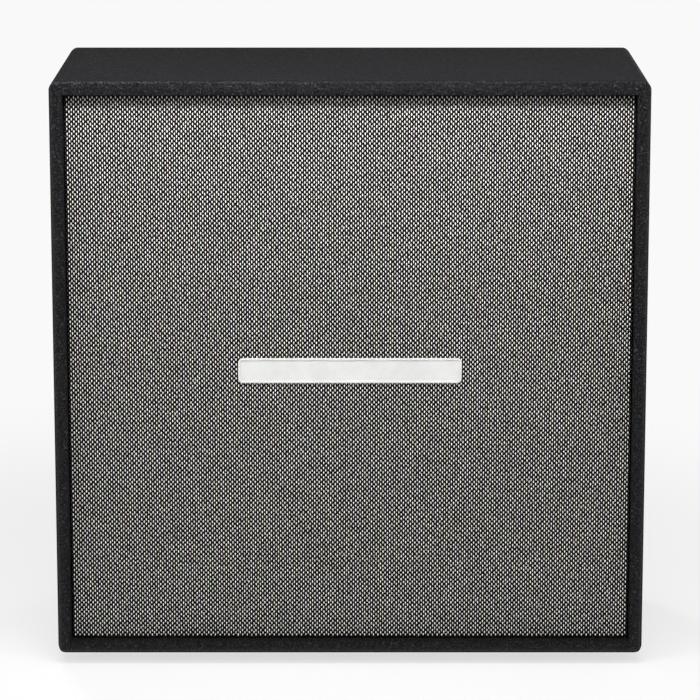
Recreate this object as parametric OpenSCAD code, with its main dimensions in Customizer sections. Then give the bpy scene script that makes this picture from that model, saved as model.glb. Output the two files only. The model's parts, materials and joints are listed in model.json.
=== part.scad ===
/* [Shell] */
// Width of the cabinet over its covering
cab_w = 750; // [730:5:800]
// Height of the cabinet over its covering, without the feet
cab_h = 740; // [716:2:790]
// Depth of the cabinet over its covering
cab_d = 356; // [340:2:420]
// Radius of every outer edge
edge_r = 12.7; // [9:0.1:14]
// Thickness of the plywood shell
ply_t = 15; // [14:0.5:18]
// Thickness of the vinyl covering
vinyl_t = 1; // [0.6:0.1:1.4]
// Width of one finger of the corner joints
finger_w = 18; // [12:1:30]

/* [Boards inside] */
// Thickness of the baffle board
baffle_t = 18; // [15:1:22]
// Thickness of the rear panel
rear_t = 15; // [12:1:18]
// Depth of the rear panel behind the rear edges
rear_recess = 10; // [6:1:16]
// Gap round the baffle board and the rear panel
board_gap = 0.6; // [0.3:0.1:1]
// Side of the square cleats
cleat_w = 20; // [16:1:24]
// Side of the square centre post
post_w = 45; // [36:1:50]

/* [Grille] */
// Depth of the grille cloth behind the front edges
grille_recess = 17; // [8:1:24]
// Gap between the grille and the covering round it
grille_gap = 1.5; // [1:0.1:2.5]
// Thickness of the grille cloth
cloth_t = 1; // [0.6:0.1:1.4]
// Width of the cloth turned over behind the frame
turnover_w = 19; // [12:1:20]
// Thickness of the grille frame
frame_t = 12; // [9:1:15]
// Width of the rails round the frame
rail_w = 22; // [20:1:23]
// Width of the cross bars of the frame
bar_w = 16; // [12:1:18]
// Cutter radius in the corners of the frame's windows
window_r = 6; // [3:1:12]
// Length of one hook-and-loop strip
strip_l = 80; // [60:5:120]
// Width of one hook-and-loop strip
strip_w = 15; // [10:1:18]
// Thickness of one half of a hook-and-loop strip
strip_t = 2.4; // [2.2:0.1:2.6]
// Distance of the strips' ends from the corners of the frame
strip_end = 24; // [22:1:40]

/* [Badge] */
// Length of the blank badge
badge_l = 283; // [150:1:300]
// Height of the blank badge
badge_h = 32; // [20:1:40]
// Thickness of the badge
badge_t = 3; // [2:0.5:4]
// Width of the badge's raised rim
badge_rim = 2.6; // [1.5:0.1:4]
// Depth of the badge's field below its rim
badge_field = 1; // [0.5:0.1:1.5]
// Radius of the badge's corners
badge_r = 6; // [3:1:9]
// Radius of the pins behind the badge
badge_pin_r = 1.5; // [1:0.1:2]
// Length of the badge pins inside the frame
badge_pin_l = 8; // [4:1:9]
// Distance between the two badge pins
badge_pin_gap = 220; // [100:10:240]

/* [Feet] */
// Height of the rubber feet
foot_h = 14; // [12:1:30]
// Diameter of a foot where it meets the cabinet
foot_top_d = 38; // [34:1:50]
// Diameter of a foot at the floor
foot_tip_d = 33; // [28:1:33]
// Distance of each foot's centre from the cabinet's edges
foot_inset = 78; // [40:1:90]
// Radius of the hollow that takes the foot's washer
foot_hollow_r = 8.5; // [7:0.5:10]
// Thickness of rubber above that hollow
foot_web = 5; // [3:0.5:8]

/* [Handles] */
// Length of the handle's flange
flange_l = 196; // [188:1:220]
// Height of the handle's flange
flange_h = 140; // [132:1:160]
// Corner radius of the handle's flange
flange_r = 12; // [6:1:20]
// Length of the handle's pan
pan_l = 152; // [130:1:156]
// Height of the handle's pan
pan_h = 98; // [86:1:102]
// Depth of the handle's pan
pan_d = 66; // [58:1:72]
// Radius of the pan's corners
pan_r = 18; // [10:1:24]
// Thickness of the pressed steel
sheet_t = 1.6; // [1:0.1:2]
// Height of the handles above the middle of the cabinet
handle_up = 30; // [0:5:60]
// Radius of the handle's bar
grip_bar_r = 6; // [5:0.5:7]
// Radius of the grip round the bar
grip_r = 12; // [10:0.5:14]
// Length of the grip
grip_l = 112; // [90:1:120]
// Depth of the bar's axis below the flange
bar_down = 23; // [23:1:27]
// Distance of the flange's corner screws from its middle
handle_screw_at = 72; // [60:1:76]
// Gap between the pan and the edges of its hole in the wood
pan_gap = 1; // [0.5:0.1:2]

/* [Jack dish] */
// Length of the jack dish's flange
jack_flange_l = 124; // [116:1:140]
// Height of the jack dish's flange
jack_flange_h = 84; // [80:1:100]
// Length of the jack dish's pan
jack_pan_l = 90; // [80:1:94]
// Height of the jack dish's pan
jack_pan_h = 54; // [44:1:58]
// Depth of the jack dish's pan
jack_pan_d = 24; // [18:1:30]
// Radius of the jack dish's corners
jack_pan_r = 9; // [5:1:12]
// Distance between the two jack sockets
jack_pitch = 44; // [32:1:48]
// Distance of the jack dish below the middle of the cabinet
jack_down = 150; // [110:5:220]
// Radius of the bore that takes a quarter inch plug
jack_bore_r = 3.25; // [3.2:0.01:3.3]
// Length of that bore
jack_bore_l = 28; // [24:1:30]
// Radius of the socket's threaded neck
jack_neck_r = 4.75; // [4.5:0.05:5]
// Length of the threaded neck above the dish
jack_neck_l = 7; // [6:0.5:9]
// Side of the socket's square body
jack_body_w = 20; // [16:1:24]
// Length of the socket's body
jack_body_l = 26; // [25:1:32]

/* [Speakers] */
// Outer radius of a speaker's rim
rim_r = 154.5; // [150:0.1:156]
// Width of the rim outside its hole in the baffle board
rim_w = 13; // [12:0.1:15]
// Distance of a speaker's screws inside the edge of its rim
bolt_in = 6; // [5:0.1:7]
// Number of screws round a speaker
bolt_count = 8; // [4:1:8]
// Thickness of the basket's pressed steel
basket_t = 1.5; // [1.2:0.1:2]
// Width of the basket's sunk ledge
ledge_w = 7.4; // [6:0.1:9]
// Depth of the ledge that carries the surround
ledge_down = 3.4; // [3:0.1:5]
// Depth of the basket's inner ledge, which carries the spider
spider_down = 71; // [66:1:76]
// Radius outside the inner ledge
spider_r = 82; // [78:1:86]
// Radius of the basket's cup
cup_r = 64; // [60:1:66]
// Depth of the basket's cup
cup_down = 84; // [80:1:90]
// Radius of the hole in the bottom of that cup
cup_hole_r = 28; // [26:1:36]
// Gap between the basket and its hole in the baffle board
basket_gap = 0.6; // [0.3:0.1:1]
// Number of windows in a basket
window_count = 8; // [6:1:8]
// Width of one basket window as an angle
window_angle = 30; // [20:1:32]
// Width of the surround between the ledge and the cone's edge
surround_w = 11; // [9:0.5:14]
// Depth of the cone's neck
neck_down = 57; // [50:1:62]
// Flare of the cone's profile, 1 is straight
cone_flare = 0.74; // [0.6:0.01:1]
// Thickness of the cone's paper
paper_t = 0.8; // [0.6:0.1:1]
// Radius of the dust cap
cap_r = 36; // [32:1:42]
// Rise of the dust cap's dome
cap_rise = 13; // [8:1:18]
// Outer radius of the voice coil's former
former_r = 22.6; // [21:0.1:24]
// Thickness of the coil's former
former_t = 0.3; // [0.2:0.1:0.4]
// Thickness of the coil's winding
winding_t = 0.9; // [0.6:0.1:1]
// Length of the coil's winding
winding_l = 13; // [10:1:16]
// Gap on each side of the moving coil
coil_gap = 0.9; // [0.8:0.1:1.2]
// Radius of the magnet ring
magnet_r = 78; // [70:1:85]
// Radius inside the magnet ring
magnet_hole_r = 40; // [34:1:46]
// Thickness of the magnet ring
magnet_t = 20; // [14:1:24]
// Radius of the two steel plates
plate_r = 71; // [68:1:76]
// Thickness of the two steel plates
plate_t = 6; // [5:0.5:8]
// Radius of the vent through the pole
vent_r = 8; // [5:0.5:10]

/* [Fastenings] */
// Shank radius of the larger wood screws
screw_r = 2.1; // [1.8:0.1:2.4]
// Head radius of the larger wood screws
screw_head_r = 4.4; // [4:0.1:5]
// Head height of the larger wood screws
screw_head_h = 3; // [2.4:0.1:3.2]
// Length of the screws that hold feet, handles and speakers
screw_l = 15; // [14:0.5:16]
// Length of the screws that hold the baffle board and the rear panel
long_screw_l = 30; // [28:1:34]
// Radius of a cup washer
cup_washer_r = 7.5; // [6.5:0.1:8]
// Height of a cup washer
cup_washer_h = 2.4; // [2:0.1:2.6]
// Distance of the boards' screws from their edges
screw_inset = 10; // [8:0.5:12]
// Distance of the baffle board's middle screws from its middle
baffle_screw_at = 98; // [80:1:105]
// Radius of the speaker cable
cable_r = 2.4; // [1.8:0.1:2.6]

/* [Hidden] */
$fn = 48;

// Film of glue, paint or cloth nap between two seated faces
seat = 0.1;
// Clearance of a screw in its hole
shank_gap = 0.05;
// Extra length of a cutting solid past the face it cuts
over = 1;
// Height of the rim round the head of a flat screw
flat_rim = 0.4;

// Half sizes of the wood, of its hollow and of the lined openings
wood_x = cab_w / 2 - vinyl_t - seat;
wood_y = cab_d / 2 - vinyl_t - seat;
wood_z = cab_h / 2 - vinyl_t - seat;
wood_r = edge_r - vinyl_t - seat;
inner_x = wood_x - ply_t;
inner_z = wood_z - ply_t;
open_x = inner_x - seat - vinyl_t;
open_z = inner_z - seat - vinyl_t;
mid_z = foot_h + cab_h / 2;

// Planes along the depth, from the front to the back
cloth_y = grille_recess - cab_d / 2;
frame_y = cloth_y + cloth_t + seat;
turn_y = frame_y + frame_t + seat;
loop_y = turn_y + cloth_t + seat;
hook_y = loop_y + strip_t + 2 * seat;
baffle_y = hook_y + strip_t + seat;
baffle_back_y = baffle_y + baffle_t;
rear_face_y = cab_d / 2 - rear_recess;
rear_y = rear_face_y - vinyl_t - seat - rear_t;

// Half sizes of the boards and of the grille
board_x = open_x - board_gap;
board_z = open_z - board_gap;
grille_x = open_x - grille_gap;
grille_z = open_z - grille_gap;
frame_x = grille_x - cloth_t - seat;
frame_z = grille_z - cloth_t - seat;

// Corner joints
fingers = 2 * floor(cab_d / finger_w / 2) + 1;
finger_pitch = 2 * wood_y / fingers;

// Screw places on the boards
screw_x = board_x - screw_inset;
screw_z = board_z - screw_inset;
rear_points = concat(
    [for (i = [-2 : 2], s = [-1, 1]) [i * screw_x / 2, s * screw_z]],
    [for (i = [-1 : 1], s = [-1, 1]) [s * screw_x, i * screw_z / 2]],
    [[0, 0]]
);
baffle_points = concat(
    [for (x = [-screw_x, -baffle_screw_at, baffle_screw_at, screw_x], s = [-1, 1])
        [x, s * screw_z]],
    [for (i = [-1 : 1], s = [-1, 1]) [s * screw_x, i * baffle_screw_at]],
    [[0, 0]]
);

// Handles and jack dish
handle_z = mid_z + handle_up;
flange_mid_l = (flange_l + pan_l) / 4;
flange_mid_h = (flange_h + pan_h) / 4;
handle_points = concat(
    [for (i = [-1 : 1], s = [-1, 1]) [i * handle_screw_at, s * flange_mid_h]],
    [for (s = [-1, 1]) [s * flange_mid_l, 0]]
);
jack_z = mid_z - jack_down;
jack_points = [for (x = [-1, 1], y = [-1, 1])
    [x * (jack_flange_l + jack_pan_l) / 4, y * (jack_flange_h + jack_pan_h) / 4]];
jack_floor = jack_pan_d - sheet_t;
jack_behind = sheet_t + seat;
jack_lug_l = 7;

// Radii inside a speaker
cutout_r = rim_r - rim_w;
bolt_ring_r = rim_r - bolt_in;
basket_wall_r = cutout_r - basket_gap;
ledge_r = basket_wall_r - basket_t - ledge_w;
cone_r = ledge_r - surround_w;

// The speakers lie with even gaps between them and to the edges of the board
spk_x = rim_r + (board_x - 2 * rim_r) / 3;
spk_z = rim_r + (board_z - 2 * rim_r) / 3;

// Depths inside a speaker, measured back from the baffle's front
plate_down = cup_down + seat;
magnet_down = plate_down + plate_t + seat;
back_down = magnet_down + magnet_t + seat;
pole_r = former_r - former_t - coil_gap;
winding_r = former_r + seat + winding_t;
lip_w = 5;
cone_top = ledge_down + paper_t;
wave_h = 2;

// Two rounded rectangles: one flat, one rounded on all twelve edges
module round_rect(w, h, r) {
    square([w - 2 * r, h], center = true);
    square([w, h - 2 * r], center = true);
    for (x = [-1, 1], y = [-1, 1])
        translate([x * (w / 2 - r), y * (h / 2 - r)]) circle(r = r);
}

module round_block(w, d, h, r) {
    intersection() {
        rotate([90, 0, 0]) linear_extrude(height = d, center = true) round_rect(w, h, r);
        rotate([90, 0, 90]) linear_extrude(height = w, center = true) round_rect(d, h, r);
        linear_extrude(height = h, center = true) round_rect(w, d, r);
    }
}

// A box given by its lowest and highest corners
module span(low, high) {
    translate(low) cube(high - low);
}

// Places with the local z axis pointing out of the cabinet
module facing_front(y) {
    translate([0, y, mid_z]) rotate([90, 0, 0]) children();
}

module facing_back(y, z) {
    translate([0, y, z]) rotate([90, 0, 180]) children();
}

module on_side(s) {
    translate([s * cab_w / 2, 0, handle_z]) rotate([90, 0, s * 90]) children();
}

module at_foot_places() {
    for (x = [-1, 1], y = [-1, 1])
        translate([x * (cab_w / 2 - foot_inset), y * (cab_d / 2 - foot_inset), 0]) children();
}

// Speakers 1 and 2 are the upper pair, 3 and 4 the lower, odd ones on the left
module at_speaker(i) {
    facing_front(baffle_y)
        translate([(i % 2 == 1 ? -1 : 1) * spk_x, (i <= 2 ? 1 : -1) * spk_z, 0]) children();
}

module at_speakers() {
    for (i = [1 : 4]) at_speaker(i) children();
}

module round_a_speaker(count, r) {
    for (k = [0 : count - 1]) rotate([0, 0, (k + 0.5) * 360 / count]) translate([r, 0, 0]) children();
}

// Screws point down, with the underside of a pan head or the face of a flat head at z = 0
module pan_screw(r, l, head_r, head_h) {
    rotate_extrude() polygon([
        [0, head_h], [head_r * 0.55, head_h], [head_r * 0.9, head_h * 0.65], [head_r, 0],
        [r, 0], [r, r - l], [0, -l]
    ]);
}

module flat_screw(r, l, head_r, head_h) {
    rotate_extrude() polygon([
        [0, 0], [head_r, 0], [head_r, -flat_rim], [r, -head_h], [r, r - l], [0, -l]
    ]);
}

// Hole of a flat screw, sunk for its head
module flat_hole(l, head_r, head_h) {
    gap = shank_gap;
    rotate_extrude() polygon([
        [0, over], [head_r + gap, over], [head_r + gap, -flat_rim - gap],
        [screw_r + gap, -head_h - gap], [screw_r + gap, -l], [0, -l]
    ]);
}

module screw_hole(l, up) {
    translate([0, 0, -l - over]) cylinder(r = screw_r + shank_gap, h = l + up + 2 * over);
}

// Corner joints: strips across the depth that belong to the sides or to the top and bottom
module finger_gaps(first, size_x, size_z) {
    for (i = [first : 2 : fingers - 1])
        translate([-size_x / 2, -wood_y + i * finger_pitch - seat / 2, -size_z / 2])
            cube([size_x, finger_pitch + seat, size_z]);
}

module corner_x_cuts(s) {
    cut = ply_t + seat + over;
    translate([s * (inner_x - seat + cut / 2), 0, 0]) finger_gaps(1, cut, 2 * cab_h);
}

module wood_block() {
    round_block(2 * wood_x, 2 * wood_y, 2 * wood_z, wood_r);
}

module level_panel(s) {
    difference() {
        intersection() {
            wood_block();
            translate([0, 0, s * (inner_z + ply_t)]) cube([cab_w, cab_d, 2 * ply_t], center = true);
        }
        for (side = [-1, 1]) corner_x_cuts(side);
    }
}

module upright_panel(s) {
    cut = ply_t + seat + over;
    difference() {
        intersection() {
            wood_block();
            translate([s * (inner_x + ply_t), 0, 0]) cube([2 * ply_t, cab_d, cab_h], center = true);
        }
        for (end = [-1, 1])
            translate([0, 0, end * (inner_z - seat + cut / 2)]) finger_gaps(0, 2 * cab_w, cut);
    }
}

module top_panel() {
    color("burlywood") translate([0, 0, mid_z]) level_panel(1);
}

module bottom_panel() {
    color("burlywood") difference() {
        translate([0, 0, mid_z]) level_panel(-1);
        at_foot_places() cylinder(r = screw_r + shank_gap, h = foot_h + vinyl_t + ply_t + over);
    }
}

module handle_cut() {
    translate([0, 0, -pan_d]) linear_extrude(height = 2 * pan_d)
        round_rect(pan_l + 2 * pan_gap, pan_h + 2 * pan_gap, pan_r);
    for (p = handle_points) translate([p[0], p[1], 0]) screw_hole(screw_l, 0);
}

module left_side_panel() {
    color("burlywood") difference() {
        translate([0, 0, mid_z]) upright_panel(-1);
        on_side(-1) handle_cut();
    }
}

module right_side_panel() {
    color("burlywood") difference() {
        translate([0, 0, mid_z]) upright_panel(1);
        on_side(1) handle_cut();
    }
}

// The covering wraps the shell and turns in round the front and the rear opening
module vinyl_covering() {
    color([0.07, 0.07, 0.07]) difference() {
        translate([0, 0, mid_z]) difference() {
            round_block(cab_w, cab_d, cab_h, edge_r);
            difference() {
                round_block(cab_w - 2 * vinyl_t, cab_d - 2 * vinyl_t, cab_h - 2 * vinyl_t,
                    edge_r - vinyl_t);
                cube([2 * (inner_x - seat), cab_d, 2 * (inner_z - seat)], center = true);
            }
            cube([2 * open_x, 2 * cab_d, 2 * open_z], center = true);
            span([-inner_x, baffle_back_y, -inner_z], [inner_x, rear_y, inner_z]);
        }
        for (s = [-1, 1]) on_side(s) handle_cut();
        at_foot_places() cylinder(r = screw_r + shank_gap, h = foot_h + 2 * vinyl_t);
    }
}

module board(low_y, high_y) {
    translate([0, 0, mid_z])
        span([-board_x, low_y, -board_z], [board_x, high_y, board_z]);
}

module baffle_board() {
    color([0.1, 0.1, 0.1]) difference() {
        board(baffle_y, baffle_back_y);
        at_speakers() {
            translate([0, 0, -baffle_t - over]) cylinder(r = cutout_r, h = baffle_t + 2 * over);
            round_a_speaker(bolt_count, bolt_ring_r) screw_hole(screw_l, 0);
        }
        facing_front(baffle_y) for (p = baffle_points) translate([p[0], p[1], 0])
            flat_hole(baffle_t + over, screw_head_r, screw_head_h);
    }
}

// Four bars round the inside of the shell, the level ones running the whole width
module cleat_ring(low_y) {
    long_x = inner_x - seat;
    long_z = inner_z - seat;
    translate([0, low_y, mid_z]) for (s = [-1, 1]) {
        translate([-long_x, 0, s * (long_z - cleat_w / 2) - cleat_w / 2])
            cube([2 * long_x, cleat_w, cleat_w]);
        translate([s * (long_x - cleat_w / 2) - cleat_w / 2, 0, -long_z + cleat_w + seat])
            cube([cleat_w, cleat_w, 2 * (long_z - cleat_w - seat)]);
    }
}

module baffle_cleats() {
    color("peru") difference() {
        cleat_ring(baffle_back_y + seat);
        facing_front(baffle_y) for (p = baffle_points)
            translate([p[0], p[1], 0]) screw_hole(long_screw_l, 0);
        at_speakers() translate([0, 0, -baffle_t - cleat_w - over])
            cylinder(r = cutout_r, h = cleat_w + over);
    }
}

module rear_cleats() {
    color("peru") difference() {
        cleat_ring(rear_y - seat - cleat_w);
        facing_back(rear_face_y, mid_z) for (p = rear_points)
            translate([p[0], p[1], 0]) screw_hole(long_screw_l, 0);
    }
}

module rear_cut() {
    translate([0, 0, -jack_pan_d]) linear_extrude(height = 2 * jack_pan_d)
        round_rect(jack_pan_l + 2 * pan_gap, jack_pan_h + 2 * pan_gap, jack_pan_r);
    for (p = jack_points) translate([p[0], p[1], 0]) screw_hole(screw_l, 0);
}

module rear_holes() {
    facing_back(rear_face_y, jack_z) rear_cut();
    facing_back(rear_face_y, mid_z) for (p = rear_points)
        translate([p[0], p[1], 0]) screw_hole(rear_t + vinyl_t, 0);
}

module rear_panel() {
    color("burlywood") difference() {
        board(rear_y, rear_y + rear_t);
        rear_holes();
    }
}

module rear_panel_vinyl() {
    color([0.07, 0.07, 0.07]) difference() {
        board(rear_face_y - vinyl_t, rear_face_y);
        rear_holes();
    }
}

module centre_post() {
    color("peru") difference() {
        translate([0, 0, mid_z])
            span([-post_w / 2, baffle_back_y + seat, -post_w / 2], [post_w / 2, rear_y - seat, post_w / 2]);
        facing_front(baffle_y) screw_hole(long_screw_l, 0);
        facing_back(rear_face_y, mid_z) screw_hole(long_screw_l, 0);
        for (s = [-1, 1]) at_clip(s) screw_hole(screw_l, 0);
    }
}

module baffle_screws() {
    color("dimgray") facing_front(baffle_y) for (p = baffle_points)
        translate([p[0], p[1], 0]) flat_screw(screw_r, long_screw_l, screw_head_r, screw_head_h);
}

// The rear screws sit in cup washers, with a slightly domed head
module rear_panel_screws() {
    color("silver") facing_back(rear_face_y + seat, mid_z) for (p = rear_points)
        translate([p[0], p[1], 0]) rotate_extrude() polygon([
            [0, cup_washer_h + 1], [screw_head_r * 0.6, cup_washer_h + 0.7],
            [screw_head_r, cup_washer_h], [screw_r, cup_washer_h - screw_head_h + 0.8],
            [screw_r, screw_r - long_screw_l], [0, -long_screw_l + 1]
        ]);
}

module rear_cup_washers() {
    hole = screw_r + shank_gap;
    color("silver") facing_back(rear_face_y + seat, mid_z) for (p = rear_points)
        translate([p[0], p[1], 0]) rotate_extrude() polygon([
            [hole, 0], [cup_washer_r, 0], [cup_washer_r, 0.5],
            [screw_head_r + 1, cup_washer_h], [screw_head_r + shank_gap, cup_washer_h],
            [hole, cup_washer_h - screw_head_h + 0.8]
        ]);
}

module rubber_feet() {
    tip = foot_tip_d / 2;
    color([0.12, 0.12, 0.12]) at_foot_places() rotate_extrude() polygon([
        [foot_hollow_r, 0], [tip - 1.5, 0], [tip, 1.5],
        [foot_top_d / 2, foot_h - 2], [foot_top_d / 2, foot_h - seat],
        [screw_r + 4 * shank_gap, foot_h - seat],
        [screw_r + 4 * shank_gap, foot_h - seat - foot_web],
        [foot_hollow_r, foot_h - seat - foot_web]
    ]);
}

// Each foot has a steel washer in its hollow and a screw up into the bottom
module foot_screws() {
    washer_z = foot_h - seat - foot_web - seat;
    washer_t = 1.2;
    color("silver") at_foot_places() {
        difference() {
            translate([0, 0, washer_z - washer_t]) cylinder(r = foot_hollow_r - 0.5, h = washer_t);
            cylinder(r = screw_r + shank_gap, h = foot_h);
        }
        translate([0, 0, washer_z - washer_t - seat]) mirror([0, 0, 1])
            pan_screw(screw_r, foot_web + ply_t + vinyl_t, screw_head_r, screw_head_h);
    }
}

// A routed frame: rails round the edge and a cross behind the badge
module grille_frame() {
    window_w = frame_x - rail_w - bar_w / 2;
    window_h = frame_z - rail_w - bar_w / 2;
    color([0.1, 0.1, 0.1]) difference() {
        facing_front(frame_y + frame_t) linear_extrude(height = frame_t) difference() {
            square([2 * frame_x, 2 * frame_z], center = true);
            for (x = [-1, 1], y = [-1, 1])
                translate([x * (bar_w + window_w) / 2, y * (bar_w + window_h) / 2])
                    round_rect(window_w, window_h, window_r);
        }
        badge_pins(shank_gap);
    }
}

module grille_cloth() {
    color([0.4, 0.39, 0.38]) difference() {
        facing_front(cloth_y + cloth_t) translate([-grille_x, -grille_z, 0])
            cube([2 * grille_x, 2 * grille_z, cloth_t]);
        badge_pins(seat);
    }
}

// The rest of the same cloth: round the frame's edges and over its back
module cloth_turnover() {
    inner_w = frame_x - turnover_w;
    inner_h = frame_z - turnover_w;
    color([0.4, 0.39, 0.38]) translate([0, 0, mid_z]) difference() {
        span([-grille_x, cloth_y + cloth_t, -grille_z], [grille_x, turn_y + cloth_t, grille_z]);
        span([-frame_x - seat, cloth_y, -frame_z - seat], [frame_x + seat, turn_y, frame_z + seat]);
        span([-inner_w, cloth_y, -inner_h], [inner_w, baffle_y, inner_h]);
    }
}

module badge_pins(gap) {
    facing_front(cloth_y) for (s = [-1, 1])
        translate([s * badge_pin_gap / 2, 0, -cloth_t - 2 * seat - badge_pin_l])
            cylinder(r = badge_pin_r + gap, h = badge_pin_l + cloth_t + 3 * seat);
}

// A blank plate with a raised rim and two pins
module badge_plate() {
    color([0.85, 0.85, 0.84]) union() {
        difference() {
            facing_front(cloth_y - seat) linear_extrude(height = badge_t)
                round_rect(badge_l, badge_h, badge_r);
            facing_front(cloth_y - seat - badge_t + badge_field) linear_extrude(height = badge_t)
                round_rect(badge_l - 2 * badge_rim, badge_h - 2 * badge_rim, badge_r - badge_rim);
        }
        badge_pins(0);
    }
}

// Two strips on each rail of the frame, and their partners on the baffle board
module strips(low_y) {
    rail_x = frame_x - rail_w / 2;
    rail_z = frame_z - rail_w / 2;
    along_x = frame_x - strip_end - strip_l / 2;
    along_z = frame_z - strip_end - strip_l / 2;
    facing_front(low_y + strip_t) for (s = [-1, 1], t = [-1, 1]) {
        translate([s * along_x - strip_l / 2, t * rail_z - strip_w / 2, 0])
            cube([strip_l, strip_w, strip_t]);
        translate([t * rail_x - strip_w / 2, s * along_z - strip_l / 2, 0])
            cube([strip_w, strip_l, strip_t]);
    }
}

module loop_strips() {
    color([0.16, 0.16, 0.16]) strips(loop_y);
}

module hook_strips() {
    color([0.14, 0.14, 0.14]) strips(hook_y);
}

// A pressed pan with a flange: its mouth is at z = 0 and its floor at z = -depth
module pressed_dish(l, h, depth, r, rim_l, rim_h, rim_r) {
    difference() {
        union() {
            translate([0, 0, seat]) linear_extrude(height = sheet_t) round_rect(rim_l, rim_h, rim_r);
            intersection() {
                round_block(l, h, 2 * depth, r);
                translate([0, 0, seat - depth]) cube([2 * l, 2 * h, 2 * depth], center = true);
            }
        }
        round_block(l - 2 * sheet_t, h - 2 * sheet_t, 2 * (depth - sheet_t), r - sheet_t);
    }
}

module jack_dish() {
    color([0.13, 0.13, 0.13]) facing_back(rear_face_y, jack_z) difference() {
        pressed_dish(jack_pan_l, jack_pan_h, jack_pan_d, jack_pan_r,
            jack_flange_l, jack_flange_h, jack_pan_r);
        for (p = jack_points) translate([p[0], p[1], 0]) screw_hole(screw_l, sheet_t);
        for (s = [-1, 1]) translate([s * jack_pitch / 2, 0, -jack_pan_d - over])
            cylinder(r = jack_neck_r + seat, h = sheet_t + 2 * over);
    }
}

module at_jack(s) {
    facing_back(rear_face_y, jack_z) translate([-s * jack_pitch / 2, 0, -jack_floor]) children();
}

// A moulded socket behind the dish, its threaded neck through the floor
module jack_socket(s) {
    color([0.15, 0.15, 0.15]) at_jack(s) difference() {
        union() {
            translate([0, 0, -jack_behind - jack_body_l]) linear_extrude(height = jack_body_l)
                round_rect(jack_body_w, jack_body_w, 2);
            translate([0, 0, -jack_behind - over])
                cylinder(r = jack_neck_r, h = jack_behind + over + jack_neck_l);
            for (x = [-1, 1]) translate([x * 5 - 1.5, -0.4, -jack_behind - jack_body_l - jack_lug_l])
                cube([3, 0.8, jack_lug_l + over]);
        }
        translate([0, 0, jack_neck_l - jack_bore_l]) cylinder(r = jack_bore_r, h = jack_bore_l + over);
    }
}

module jack_nuts() {
    washer_t = 0.8;
    nut_t = 2.6;
    color("silver") for (s = [-1, 1]) at_jack(s) {
        difference() {
            translate([0, 0, seat]) cylinder(r = jack_neck_r + 2.6, h = washer_t);
            cylinder(r = jack_neck_r + shank_gap, h = jack_neck_l);
        }
        difference() {
            translate([0, 0, 2 * seat + washer_t]) cylinder(r = jack_neck_r + 2.2, h = nut_t, $fn = 6);
            cylinder(r = jack_neck_r + shank_gap, h = jack_neck_l);
        }
    }
}

module jack_dish_screws() {
    color("dimgray") facing_back(rear_face_y + 2 * seat + sheet_t, jack_z) for (p = jack_points)
        translate([p[0], p[1], 0]) pan_screw(screw_r, screw_l, screw_head_r, screw_head_h);
}

module handle_dish(s) {
    color([0.1, 0.1, 0.1]) on_side(s) difference() {
        pressed_dish(pan_l, pan_h, pan_d, pan_r, flange_l, flange_h, flange_r);
        for (p = handle_points) translate([p[0], p[1], 0]) screw_hole(screw_l, sheet_t);
        translate([0, 0, -bar_down]) rotate([0, 90, 0])
            cylinder(r = screw_r + shank_gap, h = 2 * pan_l, center = true);
    }
}

module handle_bar(s) {
    color("silver") on_side(s) translate([0, 0, -bar_down]) rotate([0, 90, 0]) difference() {
        cylinder(r = grip_bar_r, h = pan_l - 2 * sheet_t - 2 * seat, center = true);
        for (end = [0, 180]) rotate([end, 0, 0]) translate([0, 0, pan_l / 2 - screw_l])
            cylinder(r = screw_r + shank_gap, h = screw_l);
    }
}

// A soft sleeve with chamfered ends that swells a little in the middle
module handle_grip(s) {
    bore = grip_bar_r + shank_gap;
    color([0.09, 0.09, 0.09]) on_side(s) translate([0, 0, -bar_down]) rotate([0, 90, 0])
        rotate_extrude() polygon([
            [bore, -grip_l / 2], [grip_r - 3, -grip_l / 2], [grip_r - 1, -grip_l / 2 + 3],
            [grip_r, -grip_l / 5], [grip_r, grip_l / 5],
            [grip_r - 1, grip_l / 2 - 3], [grip_r - 3, grip_l / 2], [bore, grip_l / 2]
        ]);
}

// Eight screws round each flange and one into each end of each bar
module handle_screws() {
    color("dimgray") for (s = [-1, 1]) on_side(s) {
        for (p = handle_points) translate([p[0], p[1], sheet_t + 2 * seat])
            pan_screw(screw_r, screw_l, screw_head_r, screw_head_h);
        for (end = [0, 180]) translate([0, 0, -bar_down]) rotate([0, 90, end])
            translate([0, 0, pan_l / 2 + seat])
                pan_screw(screw_r, screw_l - over, screw_head_r, screw_head_h);
    }
}

// A pressed basket: rim, sunk ledge, windowed legs, inner ledge and cup
module basket(i) {
    wall_r = basket_wall_r;
    t = basket_t;
    half = window_angle / 2;
    far = rim_r / cos(half);
    color([0.12, 0.12, 0.13]) at_speaker(i) difference() {
        rotate_extrude() polygon([
            [rim_r, seat], [rim_r, t + seat], [wall_r - t, t + seat],
            [wall_r - t, -ledge_down], [ledge_r, -ledge_down], [spider_r, -spider_down],
            [cup_r, -spider_down], [cup_r, t - cup_down], [cup_hole_r, t - cup_down],
            [cup_hole_r, -cup_down], [cup_r + t, -cup_down],
            [cup_r + t, -spider_down - t], [spider_r + t * 0.8, -spider_down - t],
            [ledge_r + t * 0.8, -ledge_down - t], [wall_r, -ledge_down - t], [wall_r, seat]
        ]);
        for (k = [0 : window_count - 1]) rotate([0, 0, k * 360 / window_count])
            translate([0, 0, 8 - spider_down]) linear_extrude(height = spider_down - ledge_down - 15)
                polygon([
                    [spider_r * cos(half), spider_r * sin(half)], [far * cos(half), far * sin(half)],
                    [far * cos(half), -far * sin(half)], [spider_r * cos(half), -spider_r * sin(half)]
                ]);
        round_a_speaker(bolt_count, bolt_ring_r)
            cylinder(r = screw_r + 4 * shank_gap, h = 3 * t + over, center = true);
    }
}

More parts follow.
